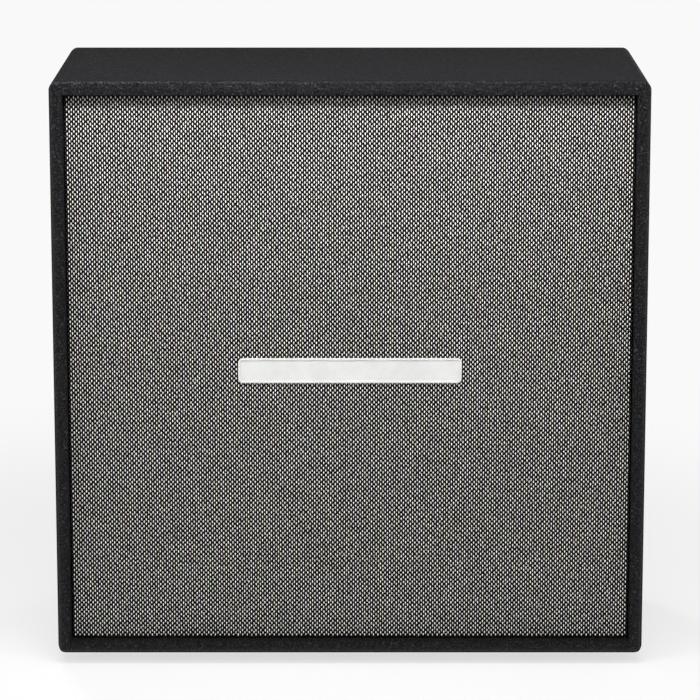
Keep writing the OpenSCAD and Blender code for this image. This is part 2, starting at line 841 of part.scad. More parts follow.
// Depth of the cone's front face at radius r
function cone_depth(r) =
    neck_down - (neck_down - cone_top)
    * pow((r - former_r) / (cone_r - lip_w - former_r), cone_flare);

function cone_face(steps, back) = [for (k = [0 : steps])
    let (r = former_r + seat + (cone_r - lip_w - former_r - seat) * pow(k / steps, 1.3))
    [r, -cone_depth(r) - (back ? paper_t : 0)]];

// A flared paper cone with a flat lip for the surround and a collar for the coil
module cone(i) {
    steps = 12;
    collar = 5;
    front = cone_face(steps, false);
    back = cone_face(steps, true);
    color([0.16, 0.15, 0.14]) at_speaker(i) rotate_extrude() polygon(concat(
        [for (k = [0 : steps]) front[k]],
        [[cone_r, -cone_top], [cone_r, -cone_top - paper_t]],
        [for (k = [steps : -1 : 1]) back[k] + [0.2, 0]],
        [[former_r + seat + paper_t, -neck_down - collar], [former_r + seat, -neck_down - collar]]
    ));
}

module dust_cap(i) {
    steps = 8;
    base = cone_depth(cap_r) - 2 * seat;
    color([0.1, 0.1, 0.1]) at_speaker(i) rotate_extrude() polygon(concat(
        [for (k = [0 : steps]) let (a = 90 * k / steps)
            [cap_r * sin(a), cap_rise * cos(a) - base]],
        [for (k = [steps : -1 : 0]) let (a = 90 * k / steps)
            [(cap_r - paper_t) * sin(a), (cap_rise - paper_t) * cos(a) - base]]
    ));
}

// The former and, outside it, the winding that sits in the magnet's gap
module voice_coil(i) {
    middle = plate_down + plate_t / 2;
    color([0.72, 0.45, 0.2]) at_speaker(i) {
        rotate_extrude() translate([former_r - former_t, -middle - winding_l / 2 - 1])
            square([former_t, middle + winding_l / 2 + 1 - neck_down]);
        rotate_extrude() translate([former_r + seat, -middle - winding_l / 2])
            square([winding_t, winding_l]);
    }
}

// A thin disc whose waves run between two radii, with flat ends
function wave_line(from_r, to_r, flat_in, flat_out, n, h, lift, steps) = concat(
    [[from_r, lift]],
    [for (k = [0 : steps]) let (f = k / steps)
        [from_r + flat_in + (to_r - flat_out - from_r - flat_in) * f,
         lift + h * (1 - cos(360 * n * f)) / 2]],
    [[to_r, lift]]
);

module waved_disc(from_r, to_r, flat_in, flat_out, n, h, low, t, steps) {
    upper = wave_line(from_r, to_r, flat_in, flat_out, n, h, low + t, steps);
    lower = wave_line(from_r, to_r, flat_in, flat_out, n, h, low, steps);
    count = len(lower);
    rotate_extrude() polygon(concat(upper, [for (k = [1 : count]) lower[count - k]]));
}

module speaker_surrounds() {
    outer = basket_wall_r - basket_t - 2 * seat;
    color([0.1, 0.1, 0.1]) at_speakers()
        waved_disc(cone_r - lip_w, outer, lip_w + 0.5, outer - ledge_r + 0.5, 2, wave_h,
            seat - ledge_down, paper_t, 16);
}

module speaker_spiders() {
    color([0.75, 0.6, 0.35]) at_speakers()
        waved_disc(former_r + seat, spider_r - 1, 5, spider_r - cup_r, 5, wave_h,
            seat - spider_down, 0.6, 30);
}

// A ring of cork on the surround's outer edge
module speaker_gaskets() {
    outer = basket_wall_r - basket_t - 2 * seat;
    low = 2 * seat + paper_t - ledge_down;
    color([0.25, 0.2, 0.16]) at_speakers() rotate_extrude()
        translate([ledge_r + 1, low]) square([outer - ledge_r - 1, 5]);
}

module speaker_top_plates() {
    color("silver") at_speakers() rotate_extrude()
        translate([winding_r + coil_gap, -plate_down - plate_t])
            square([plate_r - winding_r - coil_gap, plate_t]);
}

module speaker_magnets() {
    bevel = 1.2;
    color([0.2, 0.2, 0.21]) at_speakers() rotate_extrude() polygon([
        [magnet_hole_r, -magnet_down], [magnet_r - bevel, -magnet_down],
        [magnet_r, -magnet_down - bevel], [magnet_r, bevel - magnet_down - magnet_t],
        [magnet_r - bevel, -magnet_down - magnet_t], [magnet_hole_r, -magnet_down - magnet_t]
    ]);
}

// The back plate and its vented pole
module speaker_back_plates() {
    color("silver") at_speakers() rotate_extrude() polygon([
        [vent_r, seat - plate_down], [pole_r, seat - plate_down], [pole_r, -back_down],
        [plate_r, -back_down], [plate_r, -back_down - plate_t], [vent_r, -back_down - plate_t]
    ]);
}

// A fibre block on the cup with two solder tags, facing the middle of the cabinet
module speaker_terminals() {
    block_w = 26;
    block_h = 9;
    out_r = cup_r + basket_t + 5;
    color([0.45, 0.3, 0.15]) for (i = [1 : 4]) at_speaker(i) rotate([0, 0, i % 2 == 1 ? 0 : 180]) {
        difference() {
            translate([cup_r, -block_w / 2, -cup_down + 1]) cube([out_r - cup_r, block_w, block_h]);
            translate([0, 0, -cup_down]) cylinder(r = cup_r + basket_t + seat, h = spider_down);
        }
        for (y = [-1, 1]) translate([out_r, y * 7 - 2.4, -cup_down + 5]) cube([8, 4.8, 0.8]);
    }
}

module speaker_screws() {
    color("dimgray") at_speakers() round_a_speaker(bolt_count, bolt_ring_r)
        translate([0, 0, basket_t + 2 * seat]) pan_screw(screw_r, screw_l, screw_head_r, screw_head_h);
}

// Moulded saddles that hold two cables against each side of the post
module at_clip(s) {
    translate([s * post_w / 2, clip_y, mid_z]) rotate([90, 0, s * 90]) children();
}

module cable_clips() {
    top = 2 * cable_r + 2;
    color([0.2, 0.2, 0.2]) for (s = [-1, 1]) at_clip(s) difference() {
        translate([0, 0, seat + top / 2]) cube([9, 2 * cable_up + 4 * cable_r, top], center = true);
        for (t = [-1, 1]) translate([0, t * cable_up, seat + cable_r]) rotate([0, 90, 0])
            cylinder(r = cable_r + seat, h = 2 * cable_up, center = true);
        cylinder(r = screw_r + 2 * shank_gap, h = 2 * top);
    }
    color("silver") for (s = [-1, 1]) at_clip(s) translate([0, 0, top + 2 * seat])
        pan_screw(screw_r, screw_l, screw_head_r, screw_head_h);
}

// Route of one cable for a speaker on the right, in its upper or lower half
clip_y = 10;
cable_up = 9;
tag_x = spk_x - cup_r - basket_t - 5;
tag_y = baffle_y + cup_down - 5.4;
post_side = post_w / 2 + seat + cable_r;
jack_back_y = rear_face_y - jack_floor - jack_behind - jack_body_l - jack_lug_l - seat;
lug_x = jack_pitch / 2 + 5;

function cable_route(t) = [
    [lug_x - 5 + t * 5, jack_back_y, jack_z],
    [lug_x - 5 + t * 5, jack_back_y - 14, jack_z],
    [lug_x - 5 + t * 5, jack_back_y - 30, jack_z + 16],
    [post_side + 6 + t * 4, 66, mid_z - 70],
    [post_side + 5 + t * 4, 54, mid_z + t * 6 - 19],
    [post_side, 40, mid_z + t * cable_up],
    [post_side, 24, mid_z + t * cable_up],
    [post_side, -4, mid_z + t * cable_up],
    [post_side + 2, -22, mid_z + t * (cable_up + 4)],
    [post_side + 12, -44, mid_z + t * 50],
    [tag_x - 36, tag_y, mid_z + t * 120],
    [tag_x - 22, tag_y, mid_z + t * (spk_z - 6)],
    [tag_x - 8.3, tag_y, mid_z + t * (spk_z - 7)]
];

function unit(v) = v / norm(v);

function curve_point(p, k, f) =
    let (a = p[max(k - 1, 0)], b = p[k], c = p[k + 1], d = p[min(k + 2, len(p) - 1)])
    0.5 * (2 * b + (c - a) * f + (2 * a - 5 * b + 4 * c - d) * f * f
        + (3 * b - a - 3 * c + d) * f * f * f);

function smooth_route(p, steps) = concat(
    [for (k = [0 : len(p) - 2], j = [0 : steps - 1]) curve_point(p, k, j / steps)],
    [p[len(p) - 1]]
);

function headings(p) = [for (k = [0 : len(p) - 1])
    unit(p[min(k + 1, len(p) - 1)] - p[max(k - 1, 0)])];

function carried(h, k, n) = k == len(h) ? []
    : let (m = unit(n - (n * h[k]) * h[k])) concat([m], carried(h, k + 1, m));

// A tube swept along a route, closed at both ends
module tube(route, r, sides) {
    h = headings(route);
    n = carried(h, 0, [0, 0, 1]);
    last = len(route) - 1;
    points = [for (k = [0 : last], j = [0 : sides - 1])
        let (a = 360 * j / sides, b = cross(h[k], n[k]))
        route[k] + r * (cos(a) * n[k] + sin(a) * b)];
    walls = [for (k = [0 : last - 1], j = [0 : sides - 1])
        let (a = k * sides + j, b = k * sides + (j + 1) % sides)
        each [[a, b + sides, b], [a, a + sides, b + sides]]];
    near = [for (j = [1 : sides - 2]) [0, j, j + 1]];
    far = [for (j = [1 : sides - 2]) [0, j + 1, j] + last * sides * [1, 1, 1]];
    polyhedron(points = points, faces = concat(walls, near, far));
}

module speaker_cables() {
    color([0.15, 0.15, 0.15]) for (t = [-1, 1]) {
        tube(smooth_route(cable_route(t), 2), cable_r, 8);
        mirror([1, 0, 0]) tube(smooth_route(cable_route(t), 2), cable_r, 8);
    }
}

top_panel();
bottom_panel();
left_side_panel();
right_side_panel();
vinyl_covering();
baffle_board();
baffle_cleats();
rear_cleats();
rear_panel();
rear_panel_vinyl();
centre_post();
baffle_screws();
rear_panel_screws();
rear_cup_washers();
rubber_feet();
foot_screws();
grille_frame();
grille_cloth();
cloth_turnover();
badge_plate();
loop_strips();
hook_strips();
jack_dish();
jack_socket(-1);  // jack_socket_left
jack_socket(1);  // jack_socket_right
jack_nuts();
jack_dish_screws();
handle_dish(-1);  // left_handle_dish
handle_dish(1);  // right_handle_dish
handle_bar(-1);  // left_handle_bar
handle_bar(1);  // right_handle_bar
handle_grip(-1);  // left_handle_grip
handle_grip(1);  // right_handle_grip
handle_screws();
speaker_cables();
cable_clips();
basket(1);  // basket_1
basket(2);  // basket_2
basket(3);  // basket_3
basket(4);  // basket_4
cone(1);  // cone_1
cone(2);  // cone_2
cone(3);  // cone_3
cone(4);  // cone_4
dust_cap(1);  // dust_cap_1
dust_cap(2);  // dust_cap_2
dust_cap(3);  // dust_cap_3
dust_cap(4);  // dust_cap_4
voice_coil(1);  // voice_coil_1
voice_coil(2);  // voice_coil_2
voice_coil(3);  // voice_coil_3
voice_coil(4);  // voice_coil_4
speaker_surrounds();
speaker_spiders();
speaker_gaskets();
speaker_top_plates();
speaker_magnets();
speaker_back_plates();
speaker_terminals();
speaker_screws();
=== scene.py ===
"""Dresses a guitar speaker cabinet with four twelve inch speakers behind a woven grille.

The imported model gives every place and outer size. What this script adds is the grained covering,
the woven grille cloth, a blank badge, pressed dishes, ribbed grips, feet and cross recessed
screws, the finish of every part, and a pale studio. The cabinet's front faces -Y and it stands
on the floor at z = 0. Sizes are in millimetres and are turned into metres where a mesh is made.
"""
import json
import logging
import math
from dataclasses import dataclass
from enum import Enum
from typing import Iterable, Optional, Sequence, Union

import bmesh
import bpy
import numpy as np
from mathutils import Matrix, Vector

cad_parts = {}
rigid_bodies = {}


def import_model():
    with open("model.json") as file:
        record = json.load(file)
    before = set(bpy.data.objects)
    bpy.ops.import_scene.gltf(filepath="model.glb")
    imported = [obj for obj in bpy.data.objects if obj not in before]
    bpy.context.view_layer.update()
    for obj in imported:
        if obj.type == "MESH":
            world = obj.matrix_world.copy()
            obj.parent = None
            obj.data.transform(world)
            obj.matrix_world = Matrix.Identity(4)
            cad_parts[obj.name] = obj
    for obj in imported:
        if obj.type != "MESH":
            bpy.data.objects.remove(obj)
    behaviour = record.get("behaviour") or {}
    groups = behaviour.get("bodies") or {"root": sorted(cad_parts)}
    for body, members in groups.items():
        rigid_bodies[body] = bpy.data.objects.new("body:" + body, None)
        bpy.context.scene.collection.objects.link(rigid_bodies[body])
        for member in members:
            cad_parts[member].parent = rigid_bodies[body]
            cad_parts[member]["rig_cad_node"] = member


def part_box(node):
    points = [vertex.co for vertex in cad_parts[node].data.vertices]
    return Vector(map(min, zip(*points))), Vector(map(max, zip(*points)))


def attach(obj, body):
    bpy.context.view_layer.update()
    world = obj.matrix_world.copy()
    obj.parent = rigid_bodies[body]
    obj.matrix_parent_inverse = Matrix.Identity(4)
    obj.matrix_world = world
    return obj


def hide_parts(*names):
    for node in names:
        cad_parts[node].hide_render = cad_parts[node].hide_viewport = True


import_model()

MM = 0.001
TOUCHING = 1e-5  # metres within which a point counts as on a plane
QUARTER_TURN = math.radians(90)
LOG = logging.getLogger("cabinet")
Colour = tuple[float, float, float]
Outline = Sequence[tuple[float, float]]
Wire = Union[bpy.types.NodeSocket, float, Sequence[float]]


class Body(Enum):
    """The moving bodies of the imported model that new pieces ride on."""

    CABINET = "cabinet"
    GRILLE = "grille"


# ---------------------------------------------------------------- meshes


@dataclass(frozen=True)
class Box:
    """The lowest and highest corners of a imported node, in metres."""

    low: Vector
    high: Vector

    @classmethod
    def of(cls, *nodes: str) -> "Box":
        """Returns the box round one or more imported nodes."""
        pairs = [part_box(node) for node in nodes]
        low = Vector([min(pair[0][i] for pair in pairs) for i in range(3)])
        high = Vector([max(pair[1][i] for pair in pairs) for i in range(3)])
        return cls(low, high)

    @property
    def middle(self) -> Vector:
        """The centre of the box."""
        return (self.low + self.high) / 2

    @property
    def size(self) -> Vector:
        """The three side lengths of the box."""
        return self.high - self.low


def facing_front(x: float, y: float, z: float) -> Matrix:
    """Returns a place whose local z axis points out of the cabinet's front."""
    return Matrix.Translation((x, y, z)) @ Matrix.Rotation(QUARTER_TURN, 4, "X")


def facing_back(x: float, y: float, z: float) -> Matrix:
    """Returns a place whose local z axis points out of the cabinet's back."""
    turn = Matrix.Rotation(math.pi, 4, "Z") @ Matrix.Rotation(QUARTER_TURN, 4, "X")
    return Matrix.Translation((x, y, z)) @ turn


def facing_side(side: int, x: float, y: float, z: float) -> Matrix:
    """Returns a place whose local z axis points out of the left (-1) or right (1) side."""
    turn = Matrix.Rotation(QUARTER_TURN * side, 4, "Z") @ Matrix.Rotation(QUARTER_TURN, 4, "X")
    return Matrix.Translation((x, y, z)) @ turn


def in_scene(name: str, data: bpy.types.ID) -> bpy.types.Object:
    """Returns a new object that is linked to the scene."""
    made = bpy.data.objects.new(name, data)
    bpy.context.scene.collection.objects.link(made)
    return made


def thickened(piece: bpy.types.Object, label: str, thickness: float) -> None:
    """Gives an open sheet its wall, in metres, on the side away from its faces."""
    wall = piece.modifiers.new(label, "SOLIDIFY")
    wall.thickness, wall.offset = thickness, -1


class Workpiece:
    """A mesh being shaped, with the cuts and folds that several pieces share."""

    def __init__(self) -> None:
        """Starts with an empty mesh."""
        self.bm = bmesh.new()

    def block(self, box: Box) -> list[bmesh.types.BMFace]:
        """Adds a block that fills a box.

        Args:
            box: The corners, in metres.

        Returns:
            The six faces.
        """
        place = Matrix.Translation(box.middle) @ Matrix.Diagonal((*box.size, 1))
        made = bmesh.ops.create_cube(self.bm, size=1, matrix=place)
        return list({face for vert in made["verts"] for face in vert.link_faces})

    def round_edges(self, edges: Iterable[bmesh.types.BMEdge], width: float, segments: int) -> None:
        """Rounds edges over.

        Args:
            edges: The edges to round.
            width: The radius in metres.
            segments: How many flats make the curve.
        """
        bmesh.ops.bevel(self.bm, geom=list(edges), offset=width, segments=segments, profile=0.5,
                        affect="EDGES", material=-1, clamp_overlap=True)

    def rounded_face(self, width: float, height: float, radius: float, level: float = 0,
                     segments: int = 6) -> bmesh.types.BMFace:
        """Adds a flat face with rounded corners, square to the local z axis.

        Args:
            width: Its size along x, in metres.
            height: Its size along y, in metres.
            radius: The radius of its corners.
            level: Its height on the z axis.
            segments: How many flats make each corner.

        Returns:
            The face.
        """
        before = set(self.bm.faces)
        place = Matrix.Translation((0, 0, level)) @ Matrix.Diagonal((width, height, 1, 1))
        made = bmesh.ops.create_grid(self.bm, x_segments=1, y_segments=1, size=0.5, matrix=place)
        bmesh.ops.bevel(self.bm, geom=made["verts"], offset=radius, segments=segments, profile=0.5,
                        affect="VERTICES", material=-1)
        return next(face for face in self.bm.faces if face not in before)

    def facing(self, direction: Sequence[float], least: float = 0.999) -> list[bmesh.types.BMFace]:
        """Returns the faces that point in a direction, the largest first."""
        self.bm.normal_update()
        way = Vector(direction)
        found = [face for face in self.bm.faces if face.normal.dot(way) > least]
        return sorted(found, key=lambda face: -face.calc_area())

    def raised(self, face: bmesh.types.BMFace, vec: Sequence[float]) -> list[bmesh.types.BMFace]:
        """Pushes a face out of the mesh by a vector and returns the faces that moved."""
        made = bmesh.ops.extrude_face_region(self.bm, geom=[face])["geom"]
        verts = [item for item in made if isinstance(item, bmesh.types.BMVert)]
        bmesh.ops.translate(self.bm, vec=vec, verts=verts)
        return [item for item in made if isinstance(item, bmesh.types.BMFace)]

    def inset(self, face: bmesh.types.BMFace, width: float, depth: float = 0) -> None:
        """Draws a smaller copy of a face inside it, by an even width, and raises it by a depth."""
        bmesh.ops.inset_region(self.bm, faces=[face], thickness=width, depth=depth, use_even_offset=True,
                               use_boundary=True)

    def remove(self, faces: Iterable[bmesh.types.BMFace]) -> None:
        """Takes faces away and leaves their edges."""
        bmesh.ops.delete(self.bm, geom=list(faces), context="FACES_ONLY")

    def bridge(self, *loops: Iterable[bmesh.types.BMEdge]) -> None:
        """Joins loops of edges with new faces, each loop to the next."""
        for first, second in zip(loops, loops[1:]):
            bmesh.ops.bridge_loops(self.bm, edges=[*first, *second])

    def turn(self, profile: Sequence[tuple[float, float]], steps: int) -> None:
        """Turns a profile round the z axis, as on a lathe.

        Args:
            profile: Pairs of radius and height, in millimetres.
            steps: How many flats make the round.
        """
        verts = [self.bm.verts.new((r * MM, 0, h * MM)) for r, h in profile]
        edges = [self.bm.edges.new(pair) for pair in zip(verts, verts[1:])]
        bmesh.ops.spin(self.bm, geom=verts + edges, cent=(0, 0, 0), axis=(0, 0, 1), dvec=(0, 0, 0),
                       angle=math.tau, steps=steps, use_merge=True, use_duplicate=False)
        bmesh.ops.remove_doubles(self.bm, verts=self.bm.verts, dist=1e-6)

    def place(self, matrix: Matrix) -> None:
        """Moves the whole mesh to its place."""
        bmesh.ops.transform(self.bm, matrix=matrix, verts=self.bm.verts)

    def add_copies(self, mesh: bpy.types.Mesh, places: Iterable[Matrix]) -> None:
        """Adds one copy of a mesh at every place."""
        for matrix in places:
            copy = mesh.copy()
            copy.transform(matrix)
            self.bm.from_mesh(copy)
            bpy.data.meshes.remove(copy)

    def mesh(self, name: str, crease: float = 35, outward: bool = True,
             towards: Optional[Vector] = None) -> bpy.types.Mesh:
        """Ends the work.

        Args:
            name: The mesh's name.
            crease: Edges sharper than this many degrees stay sharp.
            outward: Whether the faces are turned to point outwards first.
            towards: Where the largest face of an open sheet points.

        Returns:
            The finished mesh.
        """
        if outward:
            bmesh.ops.recalc_face_normals(self.bm, faces=self.bm.faces)
        if towards and max(self.bm.faces, key=lambda face: face.calc_area()).normal.dot(towards) < 0:
            bmesh.ops.reverse_faces(self.bm, faces=self.bm.faces)
        for face in self.bm.faces:
            face.smooth = True
        for edge in self.bm.edges:
            edge.smooth = edge.calc_face_angle(math.pi) < math.radians(crease)
        made = bpy.data.meshes.new(name)
        self.bm.to_mesh(made)
        self.bm.free()
        return made


def carved(solid: bpy.types.Mesh, tool: bpy.types.Mesh) -> bpy.types.Mesh:
    """Cuts one closed mesh out of another.

    Args:
        solid: What is cut.
        tool: What cuts it.

    Returns:
        The cut mesh. The two that came in are removed.
    """
    body, cutter = (in_scene(mesh.name, mesh) for mesh in (solid, tool))
    cut = body.modifiers.new("cut", "BOOLEAN")
    cut.operation, cut.solver, cut.object = "DIFFERENCE", "EXACT", cutter
    seen = body.evaluated_get(bpy.context.evaluated_depsgraph_get())
    made = bpy.data.meshes.new_from_object(seen)
    for each in (body, cutter):
        bpy.data.objects.remove(each)
    for mesh in (solid, tool):
        bpy.data.meshes.remove(mesh)
    return made


# ---------------------------------------------------------------- materials


class Texture(Enum):
    """The surface patterns that finishes are made from."""

    PEBBLE = "pebble grain"
    TIMBER = "timber grain"
    BRUSHED = "drawn metal"
    MOULDED = "moulded skin"
    FIBRES = "felted fibres"
    THREADS = "woven threads"


class Circuit:
    """Lays out the nodes of a material or a shader group."""

    def __init__(self, tree: bpy.types.NodeTree) -> None:
        """Starts work on a node tree."""
        self.tree = tree

    def node(self, kind: str, inputs: Optional[dict] = None, **settings) -> bpy.types.Node:
        """Adds a node.

        Args:
            kind: The node's type, without its ShaderNode prefix.
            inputs: What goes into its sockets, by name or number: a value or an output.
            settings: The node's own settings.

        Returns:
            The node.
        """
        made = self.tree.nodes.new("ShaderNode" + kind)
        for name, value in settings.items():
            setattr(made, name, value)
        for key, value in (inputs or {}).items():
            self.feed(made.inputs[key], value)
        return made

    def feed(self, socket: bpy.types.NodeSocket, value: Wire) -> None:
        """Links an output to a socket, or sets the socket's value."""
        if isinstance(value, bpy.types.NodeSocket):
            self.tree.links.new(value, socket)
        else:
            socket.default_value = value

    def maths(self, operation: str, *values: Wire) -> bpy.types.NodeSocket:
        """Returns the result of a Math node."""
        return self.node("Math", dict(enumerate(values)), operation=operation).outputs[0]

    def times(self, first: Wire, second: Wire) -> bpy.types.NodeSocket:
        """Returns a product."""
        return self.maths("MULTIPLY", first, second)

    def plus(self, first: Wire, second: Wire) -> bpy.types.NodeSocket:
        """Returns a sum."""
        return self.maths("ADD", first, second)

    def vector(self, operation: str, *values: Wire) -> bpy.types.NodeSocket:
        """Returns the vector result of a Vector Math node."""
        made = self.node("VectorMath", operation=operation)
        first = [socket for socket in made.inputs if socket.enabled]
        for socket, value in zip(first, values):
            self.feed(socket, value)
        return made.outputs[0]

    def spread(self, value: Wire, low: float, high: float, to_low: float = 0,
               to_high: float = 1) -> bpy.types.NodeSocket:
        """Returns a value eased from one range to another, and held inside it."""
        made = self.node("MapRange", interpolation_type="SMOOTHSTEP")
        for name, setting in {"Value": value, "From Min": low, "From Max": high,
                              "To Min": to_low, "To Max": to_high}.items():
            self.feed(made.inputs[name], setting)
        return made.outputs[0]

    def blend(self, share: Wire, first: Wire, second: Wire) -> bpy.types.NodeSocket:
        """Returns the colour between two colours at a share."""
        made = self.node("Mix", data_type="RGBA")
        # A colour Mix takes its share at socket 0 and its colours at 6 and 7, and answers at 2.
        for number, value in ((0, share), (6, first), (7, second)):
            self.feed(made.inputs[number], value if isinstance(value, (bpy.types.NodeSocket, float, int))
                      else (*value[:3], 1))
        return made.outputs[2]


class Grain(Circuit):
    """The inside of a shader group: patterns over a place in metres, by their features in a metre.

    Every pattern gives a height, a tone and a gloss that change over the surface, from 0 to 1.
    """

    def __init__(self, tree: bpy.types.NodeTree, place: Wire, per_metre: Wire) -> None:
        """Starts work on a group's tree, with its two inputs."""
        super().__init__(tree)
        self.place, self.per_metre = place, per_metre

    def scale(self, share: float) -> bpy.types.NodeSocket:
        """Returns a share of the features in a metre."""
        return self.times(self.per_metre, share)

    def noise(self, share: float, detail: float, roughness: float = 0.5,
              place: Optional[Wire] = None) -> bpy.types.NodeSocket:
        """Returns the value of a noise at a share of the group's scale."""
        return self.node("TexNoise", {"Vector": self.place if place is None else place,
                                      "Scale": self.scale(share), "Detail": detail,
                                      "Roughness": roughness}).outputs["Fac"]

    def cells(self, share: float, place: Wire, feature: str) -> bpy.types.NodeSocket:
        """Returns the distance that a feature of scattered cells gives."""
        made = self.node("TexVoronoi", {"Vector": place, "Scale": self.scale(share)}, feature=feature)
        return made.outputs["Distance"]

    def wandered(self, share: float, reach: float, place: Optional[Wire] = None) -> bpy.types.NodeSocket:
        """Returns a place pushed about by a noise at a share of the scale, by reach features."""
        start, scale = self.place if place is None else place, self.scale(share)
        made = self.node("TexNoise", {"Vector": start, "Scale": scale, "Detail": 2.0})
        push = self.vector("SUBTRACT", made.outputs["Color"], (0.5, 0.5, 0.5))
        return self.vector("ADD", start, self.vector("SCALE", push, self.maths("DIVIDE", reach, scale)))

    def pebble(self) -> tuple:
        """Wrinkled leather grain: drawn out pebbles between creases, with fine wrinkles over them; its tone
        is lighter on the pebble tops and darker in the creases, partly the grain's own tone and partly a
        painted highlight and painted shade.
        """
        bent = self.wandered(0.45, 1.5)
        dome = self.spread(self.cells(1.0, bent, "DISTANCE_TO_EDGE"), 0.02, 0.34)
        wave = self.maths("SUBTRACT", self.noise(1.2, 2.0, place=bent), 0.5)
        wrinkle = self.spread(self.maths("ABSOLUTE", wave), 0.11, 0.0)
        relief = self.plus(self.times(dome, 0.45), self.times(wrinkle, 0.3))
        height = self.plus(relief, self.times(self.noise(0.5, 2.0), 0.5))
        # The tone paints highlights onto the pebble tops and wrinkles and painted shade into the creases
        # between them, in place of the lamps' glints on the grain.
        tone = self.times(dome, self.plus(self.times(wrinkle, 0.7), 0.3))
        return height, self.spread(tone, -0.1, 0.95), self.noise(0.5, 3.0, 0.6)

    def timber(self) -> tuple:
        """Long fibres along x with slow growth bands across them."""
        bent = self.wandered(0.05, 1.2, self.vector("MULTIPLY", self.place, (0.06, 1.0, 1.0)))
        fibre = self.noise(1.0, 5.0, 0.65, bent)
        band = self.node("TexWave", {"Vector": bent, "Scale": self.scale(0.03), "Distortion": 3.0,
                                     "Detail": 3.0}, bands_direction="Z").outputs["Fac"]
        return fibre, self.plus(self.times(band, 0.55), self.times(fibre, 0.45)), fibre

    def brushed(self) -> tuple:
        """Fine drawn lines, with a cloudy bloom of plating and small nicks."""
        line = self.noise(1.0, 3.0, 0.6, self.vector("MULTIPLY", self.place, (1.0, 1.0, 0.08)))
        nick = self.spread(self.noise(0.5, 2.0), 0.66, 0.74)
        gloss = self.plus(line, self.times(nick, 0.5))
        return self.maths("SUBTRACT", line, nick), self.noise(0.06, 4.0, 0.6), gloss

    def moulded(self) -> tuple:
        """The even orange peel of paint or plastic, with a patchy bloom."""
        bloom = self.noise(0.03, 4.0, 0.65)
        return self.noise(1.0, 3.0, 0.55), self.spread(bloom, 0.35, 0.7), self.noise(0.2, 3.0, 0.6)

    def fibres(self) -> tuple:
        """Tangled fibres of paper, felt or cork, with darker flecks."""
        bent = self.wandered(0.4, 2.5)
        strand = self.noise(1.0, 4.0, 0.7, bent)
        tone = self.times(self.spread(self.cells(0.45, bent, "F1"), 0.12, 0.55), strand)
        return strand, self.spread(tone, 0.1, 0.6), strand

    def threads(self) -> tuple:
        """A plain weave over x and y: tone is 1 on the upright threads and 0 on the level ones."""
        parts = self.node("SeparateXYZ", {0: self.vector("SCALE", self.place, self.scale(math.pi))}).outputs
        over = self.times(self.maths("SINE", parts[0]), self.maths("SINE", parts[1]))
        hump = self.plus(self.maths("ABSOLUTE", over), self.times(over, 0.2))
        fuzz = self.noise(4.0, 3.0, 0.6)
        return self.plus(self.times(hump, 0.8), self.times(fuzz, 0.2)), self.spread(over, 0.6, 0.85), fuzz


class Effects:
    """The shader groups that several finishes share, each built once."""

    OUTPUTS = ("Height", "Tone", "Gloss")

    def __init__(self) -> None:
        """Starts with no group built."""
        self.made: dict[Texture, bpy.types.NodeTree] = {}

    def group(self, texture: Texture) -> bpy.types.NodeTree:
        """Returns the group of a texture, building it the first time."""
        if texture not in self.made:
            tree = bpy.data.node_groups.new(texture.value, "ShaderNodeTree")
            for name, way, kind in (("Place", "INPUT", "Vector"), ("Per Metre", "INPUT", "Float"),
                                    *((name, "OUTPUT", "Float") for name in self.OUTPUTS)):
                tree.interface.new_socket(name, in_out=way, socket_type="NodeSocket" + kind)
            given = tree.nodes.new("NodeGroupInput").outputs
            grain = Grain(tree, given[0], given[1])
            pattern = {
                Texture.PEBBLE: grain.pebble, Texture.TIMBER: grain.timber, Texture.BRUSHED: grain.brushed,
                Texture.MOULDED: grain.moulded, Texture.FIBRES: grain.fibres, Texture.THREADS: grain.threads,
            }[texture]
            result = tree.nodes.new("NodeGroupOutput")
            for name, value in zip(self.OUTPUTS, pattern()):
                grain.feed(result.inputs[name], value)
            self.made[texture] = tree
        return self.made[texture]


@dataclass(frozen=True)
class Finish:
    """One finish: two tones over a texture, a roughness that wanders, and a relief."""

    name: str
    dark: Colour
    light: Colour
    texture: Texture
    per_metre: float
    relief: float
    rough: tuple[float, float] = (0.4, 0.6)
    metallic: float = 0.0
    coat: float = 0.0
    sheen: float = 0.0
    specular: float = 0.5
    stretch: tuple[float, float, float] = (1.0, 1.0, 1.0)
    on_uv: bool = False
    dulled: float = 0.0

    def material(self, effects: Effects) -> bpy.types.Material:
        """Builds the material.

        Args:
            effects: The shared shader groups.

        Returns:
            The material.
        """
        made = bpy.data.materials.new(self.name)
        made.use_nodes = True
        circuit = Circuit(made.node_tree)
        shader = made.node_tree.nodes["Principled BSDF"]
        grain = circuit.node("Group", node_tree=effects.group(self.texture))
        circuit.feed(grain.inputs["Place"], self.place(circuit))
        grain.inputs["Per Metre"].default_value = self.per_metre
        height, tone, gloss = grain.outputs
        circuit.feed(shader.inputs["Base Color"], circuit.blend(tone, self.dark, self.light))
        rough = circuit.spread(gloss, 0.3, 0.7, *self.rough)
        if self.dulled:
            glance = circuit.node("LayerWeight", {"Blend": 0.5}).outputs["Facing"]
            rough = circuit.maths("MAXIMUM", rough, circuit.spread(glance, 0.3, 0.7, 0.0, self.dulled))
        circuit.feed(shader.inputs["Roughness"], rough)
        bump = circuit.node("Bump", {"Strength": 1.0, "Distance": self.relief * MM, "Height": height})
        circuit.feed(shader.inputs["Normal"], bump.outputs[0])
        shader.inputs["Metallic"].default_value = self.metallic
        shader.inputs["Coat Weight"].default_value = self.coat
        shader.inputs["Sheen Weight"].default_value = self.sheen
        shader.inputs["Specular IOR Level"].default_value = self.specular
        return made

    def place(self, circuit: Circuit) -> bpy.types.NodeSocket:
        """Returns where the pattern is read: object coordinates, or the piece's own map."""
        if self.on_uv:
            start = circuit.node("UVMap", uv_map="UVMap").outputs[0]
        else:
            start = circuit.node("TexCoord").outputs["Object"]
        if self.stretch == (1.0, 1.0, 1.0):
            return start
        return circuit.node("Mapping", {"Vector": start, "Scale": self.stretch}).outputs[0]


